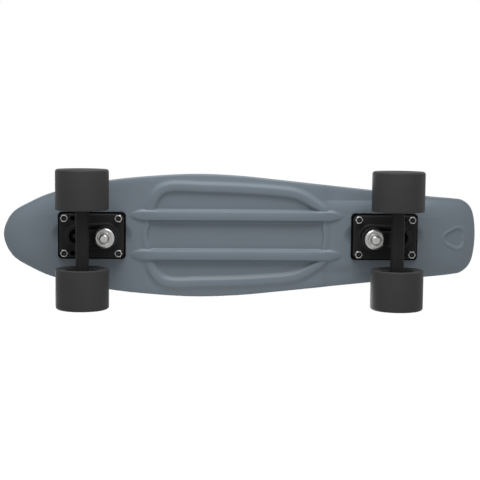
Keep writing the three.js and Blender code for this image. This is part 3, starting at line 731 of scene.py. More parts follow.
def curve_through(points, closed):
    """A smooth curve through some points, with knots spaced by the square root of each span."""
    count = len(points)
    spans = count if closed else count - 1
    places = []
    for i in range(spans):
        if closed:
            p0, p1, p2, p3 = (points[(i + k) % count] for k in (-1, 0, 1, 2))
        else:
            p1, p2 = points[i], points[i + 1]
            p0 = points[i - 1] if i else 2 * p1 - p2
            p3 = points[i + 2] if i + 2 < count else 2 * p2 - p1
        d0, d1, d2 = (math.sqrt(np.hypot(*(b - a))) for a, b in ((p0, p1), (p1, p2), (p2, p3)))
        start = ((p1 - p0) / d0 - (p2 - p0) / (d0 + d1) + (p2 - p1) / d1) * d1
        end = ((p2 - p1) / d1 - (p3 - p1) / (d1 + d2) + (p3 - p2) / d2) * d1
        for step in range(CURVE_STEPS):
            t = step / CURVE_STEPS
            places.append(
                p1 + start * t + (3 * (p2 - p1) - 2 * start - end) * t ** 2
                + (2 * (p1 - p2) + start + end) * t ** 3
            )
    if not closed:
        places.append(points[-1])
    return np.array(places)


def scaled(shares):
    return [np.array((x * DECK_SIZE.x, y * DECK_SIZE.y)) for x, y in shares]


def half_outline():
    """The deck's edge on one side, nose to tail."""
    half = scaled(OUTLINE_SHARES)
    other = [point * (1, -1) for point in half[-2:0:-1]]
    loop = curve_through(half + other, closed=True)
    edge = loop[: len(loop) // 2 + 1]
    edge[[0, -1], 1] = 0
    return edge


EDGE = half_outline()
EDGE_LENGTHS = np.concatenate([[0], np.cumsum(np.hypot(*np.diff(EDGE, axis=0).T))])
RIDGE = curve_through(scaled(RIDGE_SHARES), closed=False)
NOSE_HUB = DECK_SIZE.x / 2 - NOSE_HUB_INSET
TAIL_HUB = -DECK_SIZE.x / 2 + TAIL_HUB_INSET


def rise_at(x):
    nose = np.maximum(0, x - (DECK_SIZE.x / 2 - NOSE_RISE_LENGTH)) / NOSE_RISE_LENGTH
    tail = np.maximum(0, -x - (DECK_SIZE.x / 2 - TAIL_KICK_LENGTH)) / TAIL_KICK_LENGTH
    return NOSE_RISE * nose ** 2 + TAIL_KICK * tail ** 2


def top_curl(across):
    return DECK_EDGE_LIFT * (np.maximum(0, across - TOP_FLAT_SHARE) / (1 - TOP_FLAT_SHARE)) ** 2


def underside_curl(x, across):
    """The underside rolls up short and late along the sides, and sooner towards the nose and the tail."""
    end = soft_step((np.abs(x) - UNDERSIDE_END_START) / UNDERSIDE_END_FADE)
    flat = UNDERSIDE_FLAT_SHARE + (UNDERSIDE_END_FLAT_SHARE - UNDERSIDE_FLAT_SHARE) * end
    lift = UNDERSIDE_EDGE_LIFT + (DECK_EDGE_LIFT - UNDERSIDE_EDGE_LIFT) * end
    return lift * (np.maximum(0, across - flat) / (1 - flat)) ** 3


def nearest_on_ridge(x, y):
    """How far each place lies outside the ridge's middle line, and the line's share of the width there."""
    starts, ends = RIDGE[:-1], RIDGE[1:]
    along = ends - starts
    lengths = np.hypot(*along.T)
    out = np.stack([along[:, 1], -along[:, 0]], axis=1) / lengths[:, None]
    best = np.full(x.shape, np.inf)
    side = np.zeros(x.shape)
    share = np.zeros(x.shape)
    for start, span, length, normal in zip(starts, along, lengths, out):
        off_x, off_y = x - start[0], y - start[1]
        t = np.clip((off_x * span[0] + off_y * span[1]) / length ** 2, 0, 1)
        away = np.hypot(off_x - t * span[0], off_y - t * span[1])
        closer = away < best
        best = np.where(closer, away, best)
        side = np.where(closer, off_x * normal[0] + off_y * normal[1], side)
        share = np.where(closer, start[1] / DECK_SIZE.y, share)
    return np.where(side < 0, -best, best), share


def pocket_and_ridge(x, y):
    """The height of the pocket's floor or the plain, and the ridge's height over it."""
    outside, share = nearest_on_ridge(x, np.abs(y))
    wide_share = np.where(x > 0, RIDGE_NOSE_WIDE_SHARE, RIDGE_TAIL_WIDE_SHARE)
    wide = soft_step((share - RIDGE_LOW_SHARE) / (wide_share - RIDGE_LOW_SHARE))
    low_width = np.where(outside < 0, RIDGE_LOW_WALL_SHARE, RIDGE_LOW_SLOPE_SHARE)
    off = outside / (low_width + (1 - low_width) * wide)
    full_share = np.where(x > 0, RIDGE_NOSE_FULL_SHARE, RIDGE_TAIL_FULL_SHARE)
    full = soft_step((share - RIDGE_LOW_SHARE) / (full_share - RIDGE_LOW_SHARE))
    height = RIDGE_HEIGHT * (RIDGE_LOW_FULLNESS + (1 - RIDGE_LOW_FULLNESS) * full)
    inner = soft_step((off + RIDGE_INSIDE) / (RIDGE_INSIDE - RIDGE_CREST_INSIDE), RIDGE_EASE)
    outer = soft_step((RIDGE_OUTSIDE - off) / (RIDGE_OUTSIDE - RIDGE_CREST_OUTSIDE), RIDGE_EASE)
    crown = 1 - RIDGE_CROWN_SHARE * ((off - RIDGE_CROWN_PLACE) / RIDGE_CREST_OUTSIDE) ** 2
    return -POCKET_DEPTH * (1 - inner), height * inner * outer * np.clip(crown, 0, 1)


def rib_shape(x, y):
    """The height of a rib's top along the rib, and its share of that height across the rib."""
    nose_end = FRONT_PLACE.x - RISER_SIZE.x / 2 - RIB_NOSE_GAP
    tail_end = REAR_PLACE.x + RISER_SIZE.x / 2 + RIB_TAIL_GAP
    from_end = np.minimum(x - tail_end, nose_end - x)
    blunt = 1 - np.clip(from_end / RIB_BLUNT_LENGTH, 0, 1)
    half_width = np.maximum(RIB_HALF_WIDTH * np.sqrt(1 - blunt ** 2), WELD)
    off = np.minimum(np.abs(np.abs(y) - RIB_SPACING / 2) / half_width, 1)
    flank = RIB_FLANK_SHARE + (RIB_TIP_FLANK_SHARE - RIB_FLANK_SHARE) * blunt
    share = soft_step((1 - off) / flank, RIB_FLANK_EASE) * (1 - RIB_CROWN_SHARE * off ** 2)
    rise = 1 - (1 - np.clip(from_end / RIB_RISE_LENGTH, 0, 1)) ** RIB_RISE_POWER
    return RIB_HEIGHT * rise, share


def margin_relief(x, y):
    """Towards the tail the plain rolls down to a crease, and a gentle slope runs on to the edge."""
    end = DECK_SIZE.x / 2 - MARGIN_END_INSET
    from_end = np.minimum(end + x, -x - (end - MARGIN_LENGTH))
    along = soft_step(from_end / MARGIN_FADE)
    roll = np.clip((np.abs(y) - MARGIN_ROLL_START) / (MARGIN_HALF_WIDTH - MARGIN_ROLL_START), 0, 1)
    slope = np.clip((np.abs(y) - MARGIN_HALF_WIDTH) / (MARGIN_FOOT - MARGIN_HALF_WIDTH), 0, 1)
    return along * (MARGIN_ROLL_DEPTH * roll ** 2 + (MARGIN_DEPTH - MARGIN_ROLL_DEPTH) * slope)


def tail_mark_relief(x, y):
    off_x = x + DECK_SIZE.x / 2 - TAIL_MARK_INSET
    off_y = (y - TAIL_MARK_SIDE) / TAIL_MARK_WIDTH_SHARE
    turn = np.arctan2(off_y, off_x)
    edge = TAIL_MARK_RADIUS * (1 + TAIL_MARK_CORNER_SHARE * np.cos(TAIL_MARK_CORNERS * turn))
    away = np.hypot(off_x, off_y)
    recess = soft_step((edge - away) / TAIL_MARK_EASE + 0.5)
    rim = np.clip(np.abs(away - edge * TAIL_MARK_RIM_SHARE) / TAIL_MARK_RIM_HALF_WIDTH, 0, 1)
    return TAIL_MARK_RIM_HEIGHT * (1 - rim ** 2) ** 2 - TAIL_MARK_DEPTH * recess


def relief_at(x, y):
    """How far the moulding stands out below the plain underside."""
    floor, crest = pocket_and_ridge(x, y)
    top, share = rib_shape(x, y)
    raised = smooth_most(floor + crest, floor + (top - floor) * share, share)
    return raised + tail_mark_relief(x, y) - margin_relief(x, y)


def deck_wall(around, across):
    """The place on the deck's skin for shares of the way round its edge and across its wall."""
    far_side = around > 0.5
    station = np.where(far_side, 1 - around, around) * DECK_STATIONS
    station_lengths = np.interp([-x for x in STATION_PLACES], -EDGE[:, 0], EDGE_LENGTHS)
    along = np.interp(station, STATION_COUNTS, station_lengths)
    edge_x = np.interp(along, EDGE_LENGTHS, EDGE[:, 0])
    edge_y = np.interp(along, EDGE_LENGTHS, EDGE[:, 1]) * np.where(far_side, -1, 1)
    hub_x = np.clip(edge_x, TAIL_HUB, NOSE_HUB)
    reach = np.hypot(edge_x - hub_x, edge_y)
    lines = across * (UNDERSIDE_LINES + RIM_LINES + TOP_LINES)
    rim_share = np.clip((lines - UNDERSIDE_LINES) / RIM_LINES, 0, 1)
    top_line = np.clip((lines - UNDERSIDE_LINES - RIM_LINES) / TOP_LINES, 0, 1)
    turn = (rim_share - 0.5) * math.pi
    rim_out = np.maximum(np.cos(turn), 0) ** RIM_POWER
    rim_up = np.sign(turn) * np.abs(np.sin(turn)) ** RIM_POWER
    rim = DECK_WALL / 2 / reach
    wall_line = np.clip((lines - RIB_LINE_COUNTS[-1]) / (UNDERSIDE_LINES - RIB_LINE_COUNTS[-1]), 0, 1)
    rib_share = np.interp(lines, RIB_LINE_COUNTS, RIB_LINE_PLACES) / reach
    inner = (rib_share + (1 - rim - rib_share) * wall_line) * (1 - top_line)
    share = inner + np.where((wall_line == 1) & (top_line == 0), rim * rim_out, 0)
    x = hub_x + (edge_x - hub_x) * share
    y = edge_y * share
    under = underside_curl(x, np.minimum(share, 1 - rim)) - relief_at(x, y)
    over = DECK_WALL + top_curl(np.minimum(share, 1 - rim))
    upper = np.where(top_line > 0, 1, (1 + rim_up) / 2)
    level_x = hub_x + (edge_x - hub_x) * np.minimum(share, 1 - rim)
    rise = rise_at(x) * (1 - upper) + rise_at(level_x) * upper
    z = UNDERSIDE + rise + under * (1 - upper) + over * upper
    return np.stack([x, y, z], axis=1)


def places_of(piece):
    places = np.empty(len(piece.data.vertices) * 3)
    piece.data.vertices.foreach_get("co", places)
    return places.reshape(-1, 3)


def put_places(piece, places):
    piece.data.vertices.foreach_set("co", places.ravel())
    piece.data.update()


def bolt_places():
    return [(x, y) for x in (BOLT_X, -BOLT_X) for y in (BOLT_Y, -BOLT_Y)]


def bolt_cutters(make):
    """One cutter at each of the eight bolts, each made round the Z axis at the underside's height."""
    cutters = []
    for place in TRUCK_PLACES.values():
        for x, y in bolt_places():
            cutters.append(turned_to(make(), place, (0, 0, 0)))
            shifted(cutters[-1], place.to_3x3() @ Vector((x, y, 0)))
    return cutters


def countersunk_hole():
    head = BOLT_HEAD_RADIUS + SEAT_GAP
    return turned_solid([
        (0, -DECK_WALL, 0), (BOLT_HOLE_RADIUS, -DECK_WALL, 0),
        (BOLT_HOLE_RADIUS, DECK_WALL - BOLT_HEAD_HEIGHT, 0), (head, DECK_WALL - BOLT_HEAD_RIM, 0),
        (head, DECK_WALL * 2, 0), (0, DECK_WALL * 2, 0),
    ], BOLT_SIDES)


def scoop_cutters():
    """Shallow dished recesses that reach out past each end of the riser pads."""
    reach = RISER_SIZE.x / 2 + SCOOP_REACH - SCOOP_RADIUS
    cutters = []
    for place in (FRONT_PLACE, REAR_PLACE):
        for end in (1, -1):
            cutter = turned_solid([
                (0, -SCOOP_DEPTH, 0), (SCOOP_RADIUS, -SCOOP_DEPTH, 0), (SCOOP_RADIUS, 0, 0),
                (SCOOP_RADIUS - SCOOP_DRAFT, SCOOP_DEPTH, SCOOP_CORNER), (0, SCOOP_DEPTH, 0),
            ])
            cutters.append(shifted(cutter, place + Vector((end * reach, 0, 0))))
    return cutters


def moulded_deck():
    board = added(
        bpy.ops.mesh.primitive_grid_add, size=1, x_subdivisions=DECK_STATIONS,
        y_subdivisions=UNDERSIDE_LINES + RIM_LINES + TOP_LINES,
    )
    flat = places_of(board)
    put_places(board, deck_wall(flat[:, 0] + 0.5, flat[:, 1] + 0.5))
    weld(board)
    cut(board, gathered(bolt_cutters(countersunk_hole) + scoop_cutters()))
    smooth(board)
    stand_in(board, "moulded_deck", Matrix(), "deck", "deck_plastic")
    bpy.data.objects.remove(board)


def edge_share(x, y):
    """How far a place lies from the middle to the edge, and the length of that way."""
    hub_x = np.clip(x, TAIL_HUB, NOSE_HUB)
    straight = np.interp(-hub_x, -EDGE[:, 0], EDGE[:, 1])
    reach = straight
    for hub, end in ((NOSE_HUB, 1), (TAIL_HUB, -1)):
        past = EDGE[(EDGE[:, 0] - hub) * end >= 0]
        past = past[np.argsort(past[:, 1])]
        turns = np.arctan2(past[:, 1], (past[:, 0] - hub) * end)
        reaches = np.hypot(past[:, 0] - hub, past[:, 1])
        turn = np.arctan2(np.abs(y), (x - hub) * end)
        reach = np.where((x - hub) * end > 0, np.interp(turn, turns, reaches), reach)
    return np.hypot(x - hub_x, y) / reach, reach


def top_height(x, y):
    share, _ = edge_share(x, y)
    return UNDERSIDE + rise_at(x) + DECK_WALL + top_curl(share)


def grip_pads():
    """Rows of low diamond pads over the top, clear of the rim and the bolt heads."""
    pad = added(
        bpy.ops.mesh.primitive_cylinder_add, vertices=4, radius=PAD_HALF_DIAGONAL,
        depth=PAD_HEIGHT + PAD_ROOT, location=(0, 0, (PAD_HEIGHT - PAD_ROOT) / 2),
    )
    start_edit(pad, "FACE")
    choose(pad, "faces", lambda middle, face: face.normal.z > 0.5)
    bpy.ops.transform.resize(value=(PAD_TOP_SHARE, PAD_TOP_SHARE, 1), center_override=(0, 0, PAD_HEIGHT))
    end_edit()
    corners = len(pad.data.vertices)
    twin = pad.copy()
    twin.data = pad.data.copy()
    bpy.context.scene.collection.objects.link(twin)
    shifted(twin, (PAD_PITCH / 2, PAD_PITCH / 2, 0))
    pad = gathered([pad, twin])
    columns = math.ceil(DECK_SIZE.x / PAD_PITCH)
    rows = math.ceil(DECK_SIZE.y / PAD_PITCH)
    for count, step in ((columns, (PAD_PITCH, 0, 0)), (rows, (0, PAD_PITCH, 0))):
        apply_modifier(
            pad, "ARRAY", count=count, use_relative_offset=False, use_constant_offset=True,
            constant_offset_displace=step,
        )
    shifted(pad, (-(columns - 1) * PAD_PITCH / 2, -(rows - 1) * PAD_PITCH / 2, 0))
    places = places_of(pad)
    middles = places.reshape(-1, corners, 3).mean(axis=1)
    share, reach = edge_share(middles[:, 0], middles[:, 1])
    kept = (1 - share) * reach > PAD_EDGE_MARGIN
    for place in TRUCK_PLACES.values():
        for x, y in bolt_places():
            bolt = place @ Vector((x, y, 0))
            kept &= np.hypot(middles[:, 0] - bolt.x, middles[:, 1] - bolt.y) > PAD_BOLT_MARGIN
    places[:, 2] += top_height(places[:, 0], places[:, 1])
    put_places(pad, places)
    gone = np.repeat(~kept, corners)
    start_edit(pad)
    choose(pad, "verts", lambda middle, vert: gone[vert.index])
    bpy.ops.mesh.delete(type="VERT")
    end_edit()
    pad.name = "deck_grip_pads"
    pad.data.name = "deck_grip_pads"
    pad.data.materials.append(FINISHES["deck_plastic"])
    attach(pad, BODY_OF["deck"])


# Fasteners


def thread(radius, low, high):
    """The zigzag profile of a thread, from one height up to another."""
    length = high - low
    turns = max(1, round(length / THREAD_PITCH))
    root = radius - THREAD_PITCH * THREAD_DEPTH_SHARE
    points = []
    for turn in range(turns):
        base = low + length * turn / turns
        points += [(root, base, 0), (radius, base + length / turns / 2, 0)]
    return points + [(root, high, 0)]


def threaded_end(radius, end, length):
    """The profile of a chamfered, threaded end that points down, from its tip up."""
    chamfer = THREAD_PITCH / 2
    tip = radius - THREAD_PITCH * THREAD_DEPTH_SHARE - chamfer
    return [(0, end, 0), (tip, end, 0)] + thread(radius, end + chamfer, end + length)


def lock_nut(across, height, crown, bore_radius):
    """A chamfered nut with a rolled crown round its insert, its seat at zero and its crown down."""
    crown_height, crown_radius = height * crown[0], across / 2 * crown[1]
    hex_low = -(height - crown_height)
    corner = across / math.sqrt(3)
    body = hexagon(across, -hex_low, (0, 0, hex_low / 2))
    flat = across / 2 * NUT_CHAMFER_SHARE
    fall = (corner - flat) / 2
    chamfers = turned_solid([
        (0, 0, 0), (flat, 0, 0), (corner, -fall, 0), (corner, hex_low + fall, 0), (flat, hex_low, 0),
        (0, hex_low, 0),
    ])
    combine(body, chamfers, "INTERSECT")
    lip = (crown_radius - bore_radius) / 2
    rolled = turned([
        (bore_radius, hex_low / 2, 0), (crown_radius, hex_low / 2, 0),
        (crown_radius, -height, lip * CROWN_OUTER_ROUND_SHARE),
        (crown_radius - lip, -height, lip * CROWN_INNER_ROUND_SHARE),
        (crown_radius - lip, -height + crown_height * INSERT_EDGE_SHARE, 0),
        (bore_radius, -height + crown_height * INSERT_BORE_SHARE, 0),
    ])
    cut(body, rod(bore_radius, -height * 2, height))
    combine(body, rolled, "UNION")
    insert = body.data.attributes.new("insert", "FLOAT", "FACE")
    edge = crown_radius - lip - WELD
    inside = [
        f.center.xy.length < edge and -height + WELD < f.center.z < hex_low / 2
        for f in body.data.polygons
    ]
    insert.data.foreach_set("value", [float(value) for value in inside])
    return smooth(body)


def node_nut(node, crown, bore_radius):
    """A nut with the sizes of a CAD node's nut."""
    size = size_of(node)
    return lock_nut(min(size.x, size.y), size.z, crown, bore_radius)


def at_each_bolt(model, level, name, node, slot):
    for end, place in TRUCK_PLACES.items():
        for number, (x, y) in enumerate(bolt_places(), 1):
            lay = place @ Matrix.Translation((x, y, level))
            stand_in(model, f"{end}_{name}_{number}", lay, f"{end}_{node}_{number}", slot)
    bpy.data.objects.remove(model)


def lock_nuts():
    model = node_nut("front_lock_nut_1", LOCK_NUT_CROWN, BOLT_RADIUS)
    at_each_bolt(model, local_box("lock_nut_1")[1].z, "nylon_lock_nut", "lock_nut", "bright_steel")


def deck_bolts():
    """Countersunk bolts with a cross recess in the head."""
    low, high = local_box("deck_bolt_1")
    shank_and_head = [
        (BOLT_RADIUS, low.z / 3, 0), (BOLT_RADIUS, high.z - BOLT_HEAD_HEIGHT, 0),
        (BOLT_HEAD_RADIUS, high.z - BOLT_HEAD_RIM, 0), (BOLT_HEAD_RADIUS, high.z, BOLT_HEAD_RIM / 2),
        (0, high.z, 0),
    ]
    body = turned_solid(threaded_end(BOLT_RADIUS, low.z, -low.z / 2) + shank_and_head, BOLT_SIDES)
    for length, width in ((RECESS_LENGTH, RECESS_WIDTH), (RECESS_WIDTH, RECESS_LENGTH)):
        cutter = block((length, width, RECESS_DEPTH * 2), (0, 0, high.z))
        start_edit(cutter, "FACE")
        choose(cutter, "faces", lambda middle, face: face.normal.z < -0.5)
        bpy.ops.transform.resize(
            value=(RECESS_TIP_SHARE, RECESS_TIP_SHARE, 1), center_override=(0, 0, 0))
        end_edit()
        cut(body, cutter)
    at_each_bolt(smooth(body), 0, "countersunk_bolt", "deck_bolt", "black_steel")


# Trucks


def on_both_trucks(model, name, node, slot, bend=None):
    """A copy on each truck; for a soft one, the places where the board and the hanger hold it are worked out
    and passed on.
    """
    for end, place in TRUCK_PLACES.items():
        held = None
        if bend:
            reach = [place @ Vector((KINGPIN_X, 0, level)) for level in bend]
            held = ("board", f"{end}_hanger", *reach)
        stand_in(model, f"{end}_{name}", place, f"{end}_{node}", slot, held)
    bpy.data.objects.remove(model)


def at_kingpin(body):
    return shifted(body, (KINGPIN_X, 0, 0))


def at_pivot(body):
    return shifted(body, (PIVOT_X, 0, 0))


def at_axle(body):
    """Lays a body drawn up the Z axis along the axle."""
    return turned_to(body, Matrix.Rotation(math.pi / 2, 4, "X"), (AXLE_X, 0, AXLE_Z))


def bolt_holes(low, high, places):
    return [shifted(rod(BOLT_HOLE_RADIUS, low, high, BOLT_SIDES), (x, y, 0)) for x, y in places]


def riser_pads():
    low, high = local_box("riser_pad")
    body = rounded_block(RISER_SIZE, (low + high) / 2, RISER_CORNER, RISER_BEVEL)
    cut(body, gathered(bolt_holes(low.z * 2, -low.z, bolt_places())))
    on_both_trucks(smooth(body), "rubber_riser_pad", "riser_pad", "black_rubber")


def baseplates():
    top = local_box("baseplate")[1].z
    face = top - PLATE_THICKNESS
    root = face + PLATE_BEVEL
    slab_size = (PLATE_SIZE.x, PLATE_SIZE.y, PLATE_THICKNESS)
    slab_body = rounded_block(slab_size, (0, 0, (top + face) / 2), PLATE_CORNER, PLATE_BEVEL)
    boss = hull_of([
        at_kingpin(rod(KINGPIN_BOSS_RADIUS, face - BOSS_HEIGHT, root)),
        at_pivot(rod(PIVOT_BOSS_RADIUS, face - BOSS_HEIGHT, root)),
    ])
    pivot_top = face - PIVOT_BOSS_HEIGHT
    pivot_boss = turned_solid([
        (0, pivot_top, 0), (PIVOT_BOSS_RADIUS - PIVOT_BOSS_DRAFT, pivot_top, PLATE_BEVEL),
        (PIVOT_BOSS_RADIUS, root, 0), (0, root, 0),
    ])
    inner = KINGPIN_BOSS_RADIUS - KINGPIN_BOSS_WALL
    reach = pivot_top - CUT_OVERRUN
    pocket = hull_of([
        at_kingpin(rod(inner, reach, face)),
        shifted(rod(inner * POCKET_NECK_SHARE, reach, face), (PIVOT_X - PIVOT_BOSS_RADIUS, 0, 0)),
    ])
    body = cast([slab_body, boss, at_pivot(pivot_boss)], [pocket])
    seat = face - KINGPIN_SEAT_HEIGHT
    kingpin_seat = turned_solid([
        (0, seat, 0), (KINGPIN_SEAT_RADIUS, seat, PLATE_BEVEL / 2), (KINGPIN_SEAT_RADIUS, root, 0),
        (0, root, 0),
    ])
    combine(body, at_kingpin(kingpin_seat), "UNION")
    spare_places = [(BOLT_X - SPARE_HOLE_INSET, y) for y in (BOLT_Y, -BOLT_Y)]
    spares = bolt_holes(face - CUT_OVERRUN, CUT_OVERRUN, spare_places)
    cut(body, gathered(bolt_holes(face - CUT_OVERRUN, CUT_OVERRUN, bolt_places()) + spares))
    cup_floor = local_box("pivot_cup")[1].z + SEAT_GAP
    cut(body, at_pivot(rod(CUP_SIZE.x / 2 + SEAT_GAP, reach, cup_floor)))
    cut(body, neck_room(PIVOT_X - KINGPIN_X))
    cut(body, at_kingpin(rod(KINGPIN_RADIUS + KINGPIN_BORE_GAP, seat * 2, -seat)))
    cut(body, hexagon(KINGPIN_HEAD_ACROSS + SEAT_GAP * 2, KINGPIN_RADIUS * 2, (KINGPIN_X, 0, top)))
    on_both_trucks(smooth(body), "cast_baseplate", "baseplate", "black_paint")


def ring_levels():
    """The hanger ring's upper and lower faces, from the bushings that seat in it."""
    upper = local_box("board_side_bushing")[0].z - SEAT_GAP + RING_SEAT_DEPTH
    return upper, upper - RING_THICKNESS


def steering_tilt():
    upper, lower = ring_levels()
    return math.atan2(-PIVOT_DROP - (upper + lower) / 2, PIVOT_X - KINGPIN_X)


def on_steering_axis(body):
    """Lays a body drawn up the Z axis, with its zero at the pivot, along the steering axis."""
    turn = Matrix.Rotation(-math.pi / 2 - steering_tilt(), 4, "Y")
    return turned_to(body, turn, (PIVOT_X, 0, -PIVOT_DROP))


def neck_room(length):
    """The room that the neck of the pivot needs, along the steering axis."""
    return on_steering_axis(rod(PIVOT_NECK_RADIUS + PIVOT_RUNNING_GAP * 2, 0, length))


def web_outline():
    upper, lower = ring_levels()
    sweep = KINGPIN_X + WASHER_SIZE.x / 2 + WASHER_SWEEP
    bar_in, bar_out = AXLE_X - BAR_WIDTH / 2, AXLE_X + BAR_WIDTH / 2
    bar_top = AXLE_Z + BAR_DEPTH / 2
    root = KINGPIN_X + RING_SEAT_RADIUS
    return [
        (root, upper - RING_SEAT_DEPTH), (sweep, upper),
        (PIVOT_X - PIVOT_BOSS_RADIUS, upper + RING_THICKNESS / 2),
        (bar_in + BAR_WIDTH * WEB_SHOULDER_SHARE, upper), (bar_out, bar_top), (bar_out, AXLE_Z),
        (bar_in, AXLE_Z), (bar_in, bar_top), (sweep, lower - RING_SEAT_DEPTH),
        (root, lower + RING_SEAT_DEPTH),
    ]


def gusset():
    """The flare from the web to the bar, drawn across the board and turned to lie along the bar."""
    half = WEB_WIDTH / 2
    top = AXLE_Z + BAR_DEPTH / 2
    reach = half + GUSSET_LENGTH
    foot = top - BAR_DEPTH / 2
    body = slab([
        (-reach, foot), (reach, foot), (reach, top), (half, top + GUSSET_DROP),
        (-half, top + GUSSET_DROP), (-reach, top),
    ], GUSSET_WIDTH)
    return turned_to(body, Matrix.Rotation(math.pi / 2, 4, "Z"), (AXLE_X, 0, 0))


def pivot_pin():
    ball = PIVOT_BALL_RADIUS
    length = (PIVOT_X - KINGPIN_X) / 2
    return on_steering_axis(turned_solid([
        (0, -ball, 0), (ball, -ball, ball), (ball, ball / 2, ball / 2), (PIVOT_NECK_RADIUS, ball, 0),
        (PIVOT_NECK_RADIUS * PIVOT_NECK_SPREAD, length, 0), (0, length, 0),
    ]))


def hangers():
    upper, lower = ring_levels()
    bar = rounded_block(
        (BAR_WIDTH, HANGER_HALF * 2, BAR_DEPTH), (AXLE_X, 0, AXLE_Z), BAR_CORNER, PLATE_BEVEL, axis=1)
    ring = at_kingpin(rod(RING_RADIUS, lower, upper))
    room = at_kingpin(rod(WASHER_SIZE.x / 2 + WASHER_SWEEP, AXLE_Z, lower - RING_SEAT_DEPTH))
    body = cast([bar, slab(web_outline(), WEB_WIDTH), gusset(), ring, pivot_pin()], [room])
    for low, high, radius in (
        (lower * 2, 0, RING_BORE_RADIUS), (lower * 2, lower + RING_SEAT_DEPTH, RING_SEAT_RADIUS),
        (upper - RING_SEAT_DEPTH, 0, RING_SEAT_RADIUS),
    ):
        cut(body, at_kingpin(rod(radius, low, high)))
    cut(body, at_axle(rod(AXLE_RADIUS + AXLE_BORE_GAP, -AXLE_LENGTH, AXLE_LENGTH)))
    on_both_trucks(smooth(body), "cast_hanger", "hanger", "black_paint")


def pivot_cups():
    low, high = local_box("pivot_cup")
    outer = CUP_SIZE.x / 2
    room = PIVOT_BALL_RADIUS + PIVOT_RUNNING_GAP
    body = turned_solid([
        (0, low.z - high.z, 0), (outer, low.z - high.z, BUSHING_EDGE / 2), (outer, 0, BUSHING_EDGE / 2),
        (0, 0, 0),
    ])
    shifted(body, (PIVOT_X, 0, high.z))
    roof = -PIVOT_DROP + room
    mouth = low.z - CUT_OVERRUN
    socket = turned_solid([
        (0, roof, 0), (room, roof, room * SOCKET_ROUND_SHARE), (room, mouth, 0), (0, mouth, 0),
    ])
    cut(body, at_pivot(socket))
    cut(body, neck_room(outer * 3))
    on_both_trucks(smooth(body), "rubber_pivot_cup", "pivot_cup", "black_rubber")


def kingpins():
    low, high = local_box("kingpin")
    top = high.z - THREAD_PITCH
    plain = [(KINGPIN_RADIUS, low.z / 2, 0), (KINGPIN_RADIUS, top, 0), (0, top, 0)]
    shaft = turned_solid(threaded_end(KINGPIN_RADIUS, low.z, -low.z / 4) + plain)
    depth = KINGPIN_RADIUS * KINGPIN_HEAD_SHARE
    combine(shaft, hexagon(KINGPIN_HEAD_ACROSS, depth, (0, 0, high.z - depth / 2)), "UNION")
    on_both_trucks(smooth(at_kingpin(shaft)), "turned_kingpin", "kingpin", "bright_steel")


def kingpin_nuts():
    seat = local_box("kingpin_nut")[1].z
    model = node_nut("front_kingpin_nut", KINGPIN_NUT_CROWN, KINGPIN_RADIUS)
    on_both_trucks(shifted(model, (KINGPIN_X, 0, seat)), "kingpin_lock_nut", "kingpin_nut", "bright_steel")


def washers():
    """The dished washers; each lip turns towards the bushing that it holds."""
    radius = WASHER_SIZE.x / 2
    lip = WASHER_SIZE.z - WASHER_THICKNESS
    bore = KINGPIN_RADIUS + KINGPIN_BORE_GAP
    shoulder = radius - WASHER_THICKNESS
    soft = WASHER_THICKNESS / 2
    for node, outward in (("board_side_washer", -1), ("road_side_washer", 1)):
        low, high = local_box(node)
        flat = high.z if outward < 0 else low.z
        body = turned([
            (bore, 0, 0), (shoulder, 0, soft), (radius, lip, soft / 2),
            (radius, lip + WASHER_THICKNESS, soft / 2), (shoulder, WASHER_THICKNESS, soft),
            (bore, WASHER_THICKNESS, 0),
        ], FINE_SIDES)
        tip = Matrix.Rotation(math.pi if outward < 0 else 0, 4, "X")
        turned_to(body, tip, (KINGPIN_X, 0, flat))
        on_both_trucks(smooth(body), f"dished_{node}", node, "bright_steel")


def bushings():
    """A barrel on the board's side of the ring and a cone on the road's side; each is given the levels where
    the board and the ring hold it.
    """
    bore = KINGPIN_RADIUS + KINGPIN_BORE_GAP
    for node, (waist_share, low_share) in BUSHING_SHARES.items():
        low, high = local_box(node)
        radius = (high.x - low.x) / 2
        body = turned([
            (bore, low.z, 0), (radius * low_share, low.z, BUSHING_EDGE),
            (radius * waist_share, (low.z + high.z) / 2, BUSHING_EDGE * 3), (radius, high.z, BUSHING_EDGE),
            (bore, high.z, 0),
        ])
        bend = (high.z, low.z) if node == "board_side_bushing" else (low.z, high.z)
        on_both_trucks(smooth(at_kingpin(body)), f"moulded_{node}", node, "bushing_urethane", bend)


def axles():
    half = AXLE_LENGTH / 2
    thread_length = half - WHEEL_TRACK / 2 - BEARING_STACK / 2
    shank = [(AXLE_RADIUS, -half + thread_length + THREAD_PITCH, 0)]
    lower = threaded_end(AXLE_RADIUS, -half, thread_length) + shank
    upper = [(x, -z, 0) for x, z, _ in reversed(lower)]
    body = at_axle(turned_solid(lower + upper))
    on_both_trucks(smooth(body), "turned_axle", "axle", "bright_steel")


# Wheels


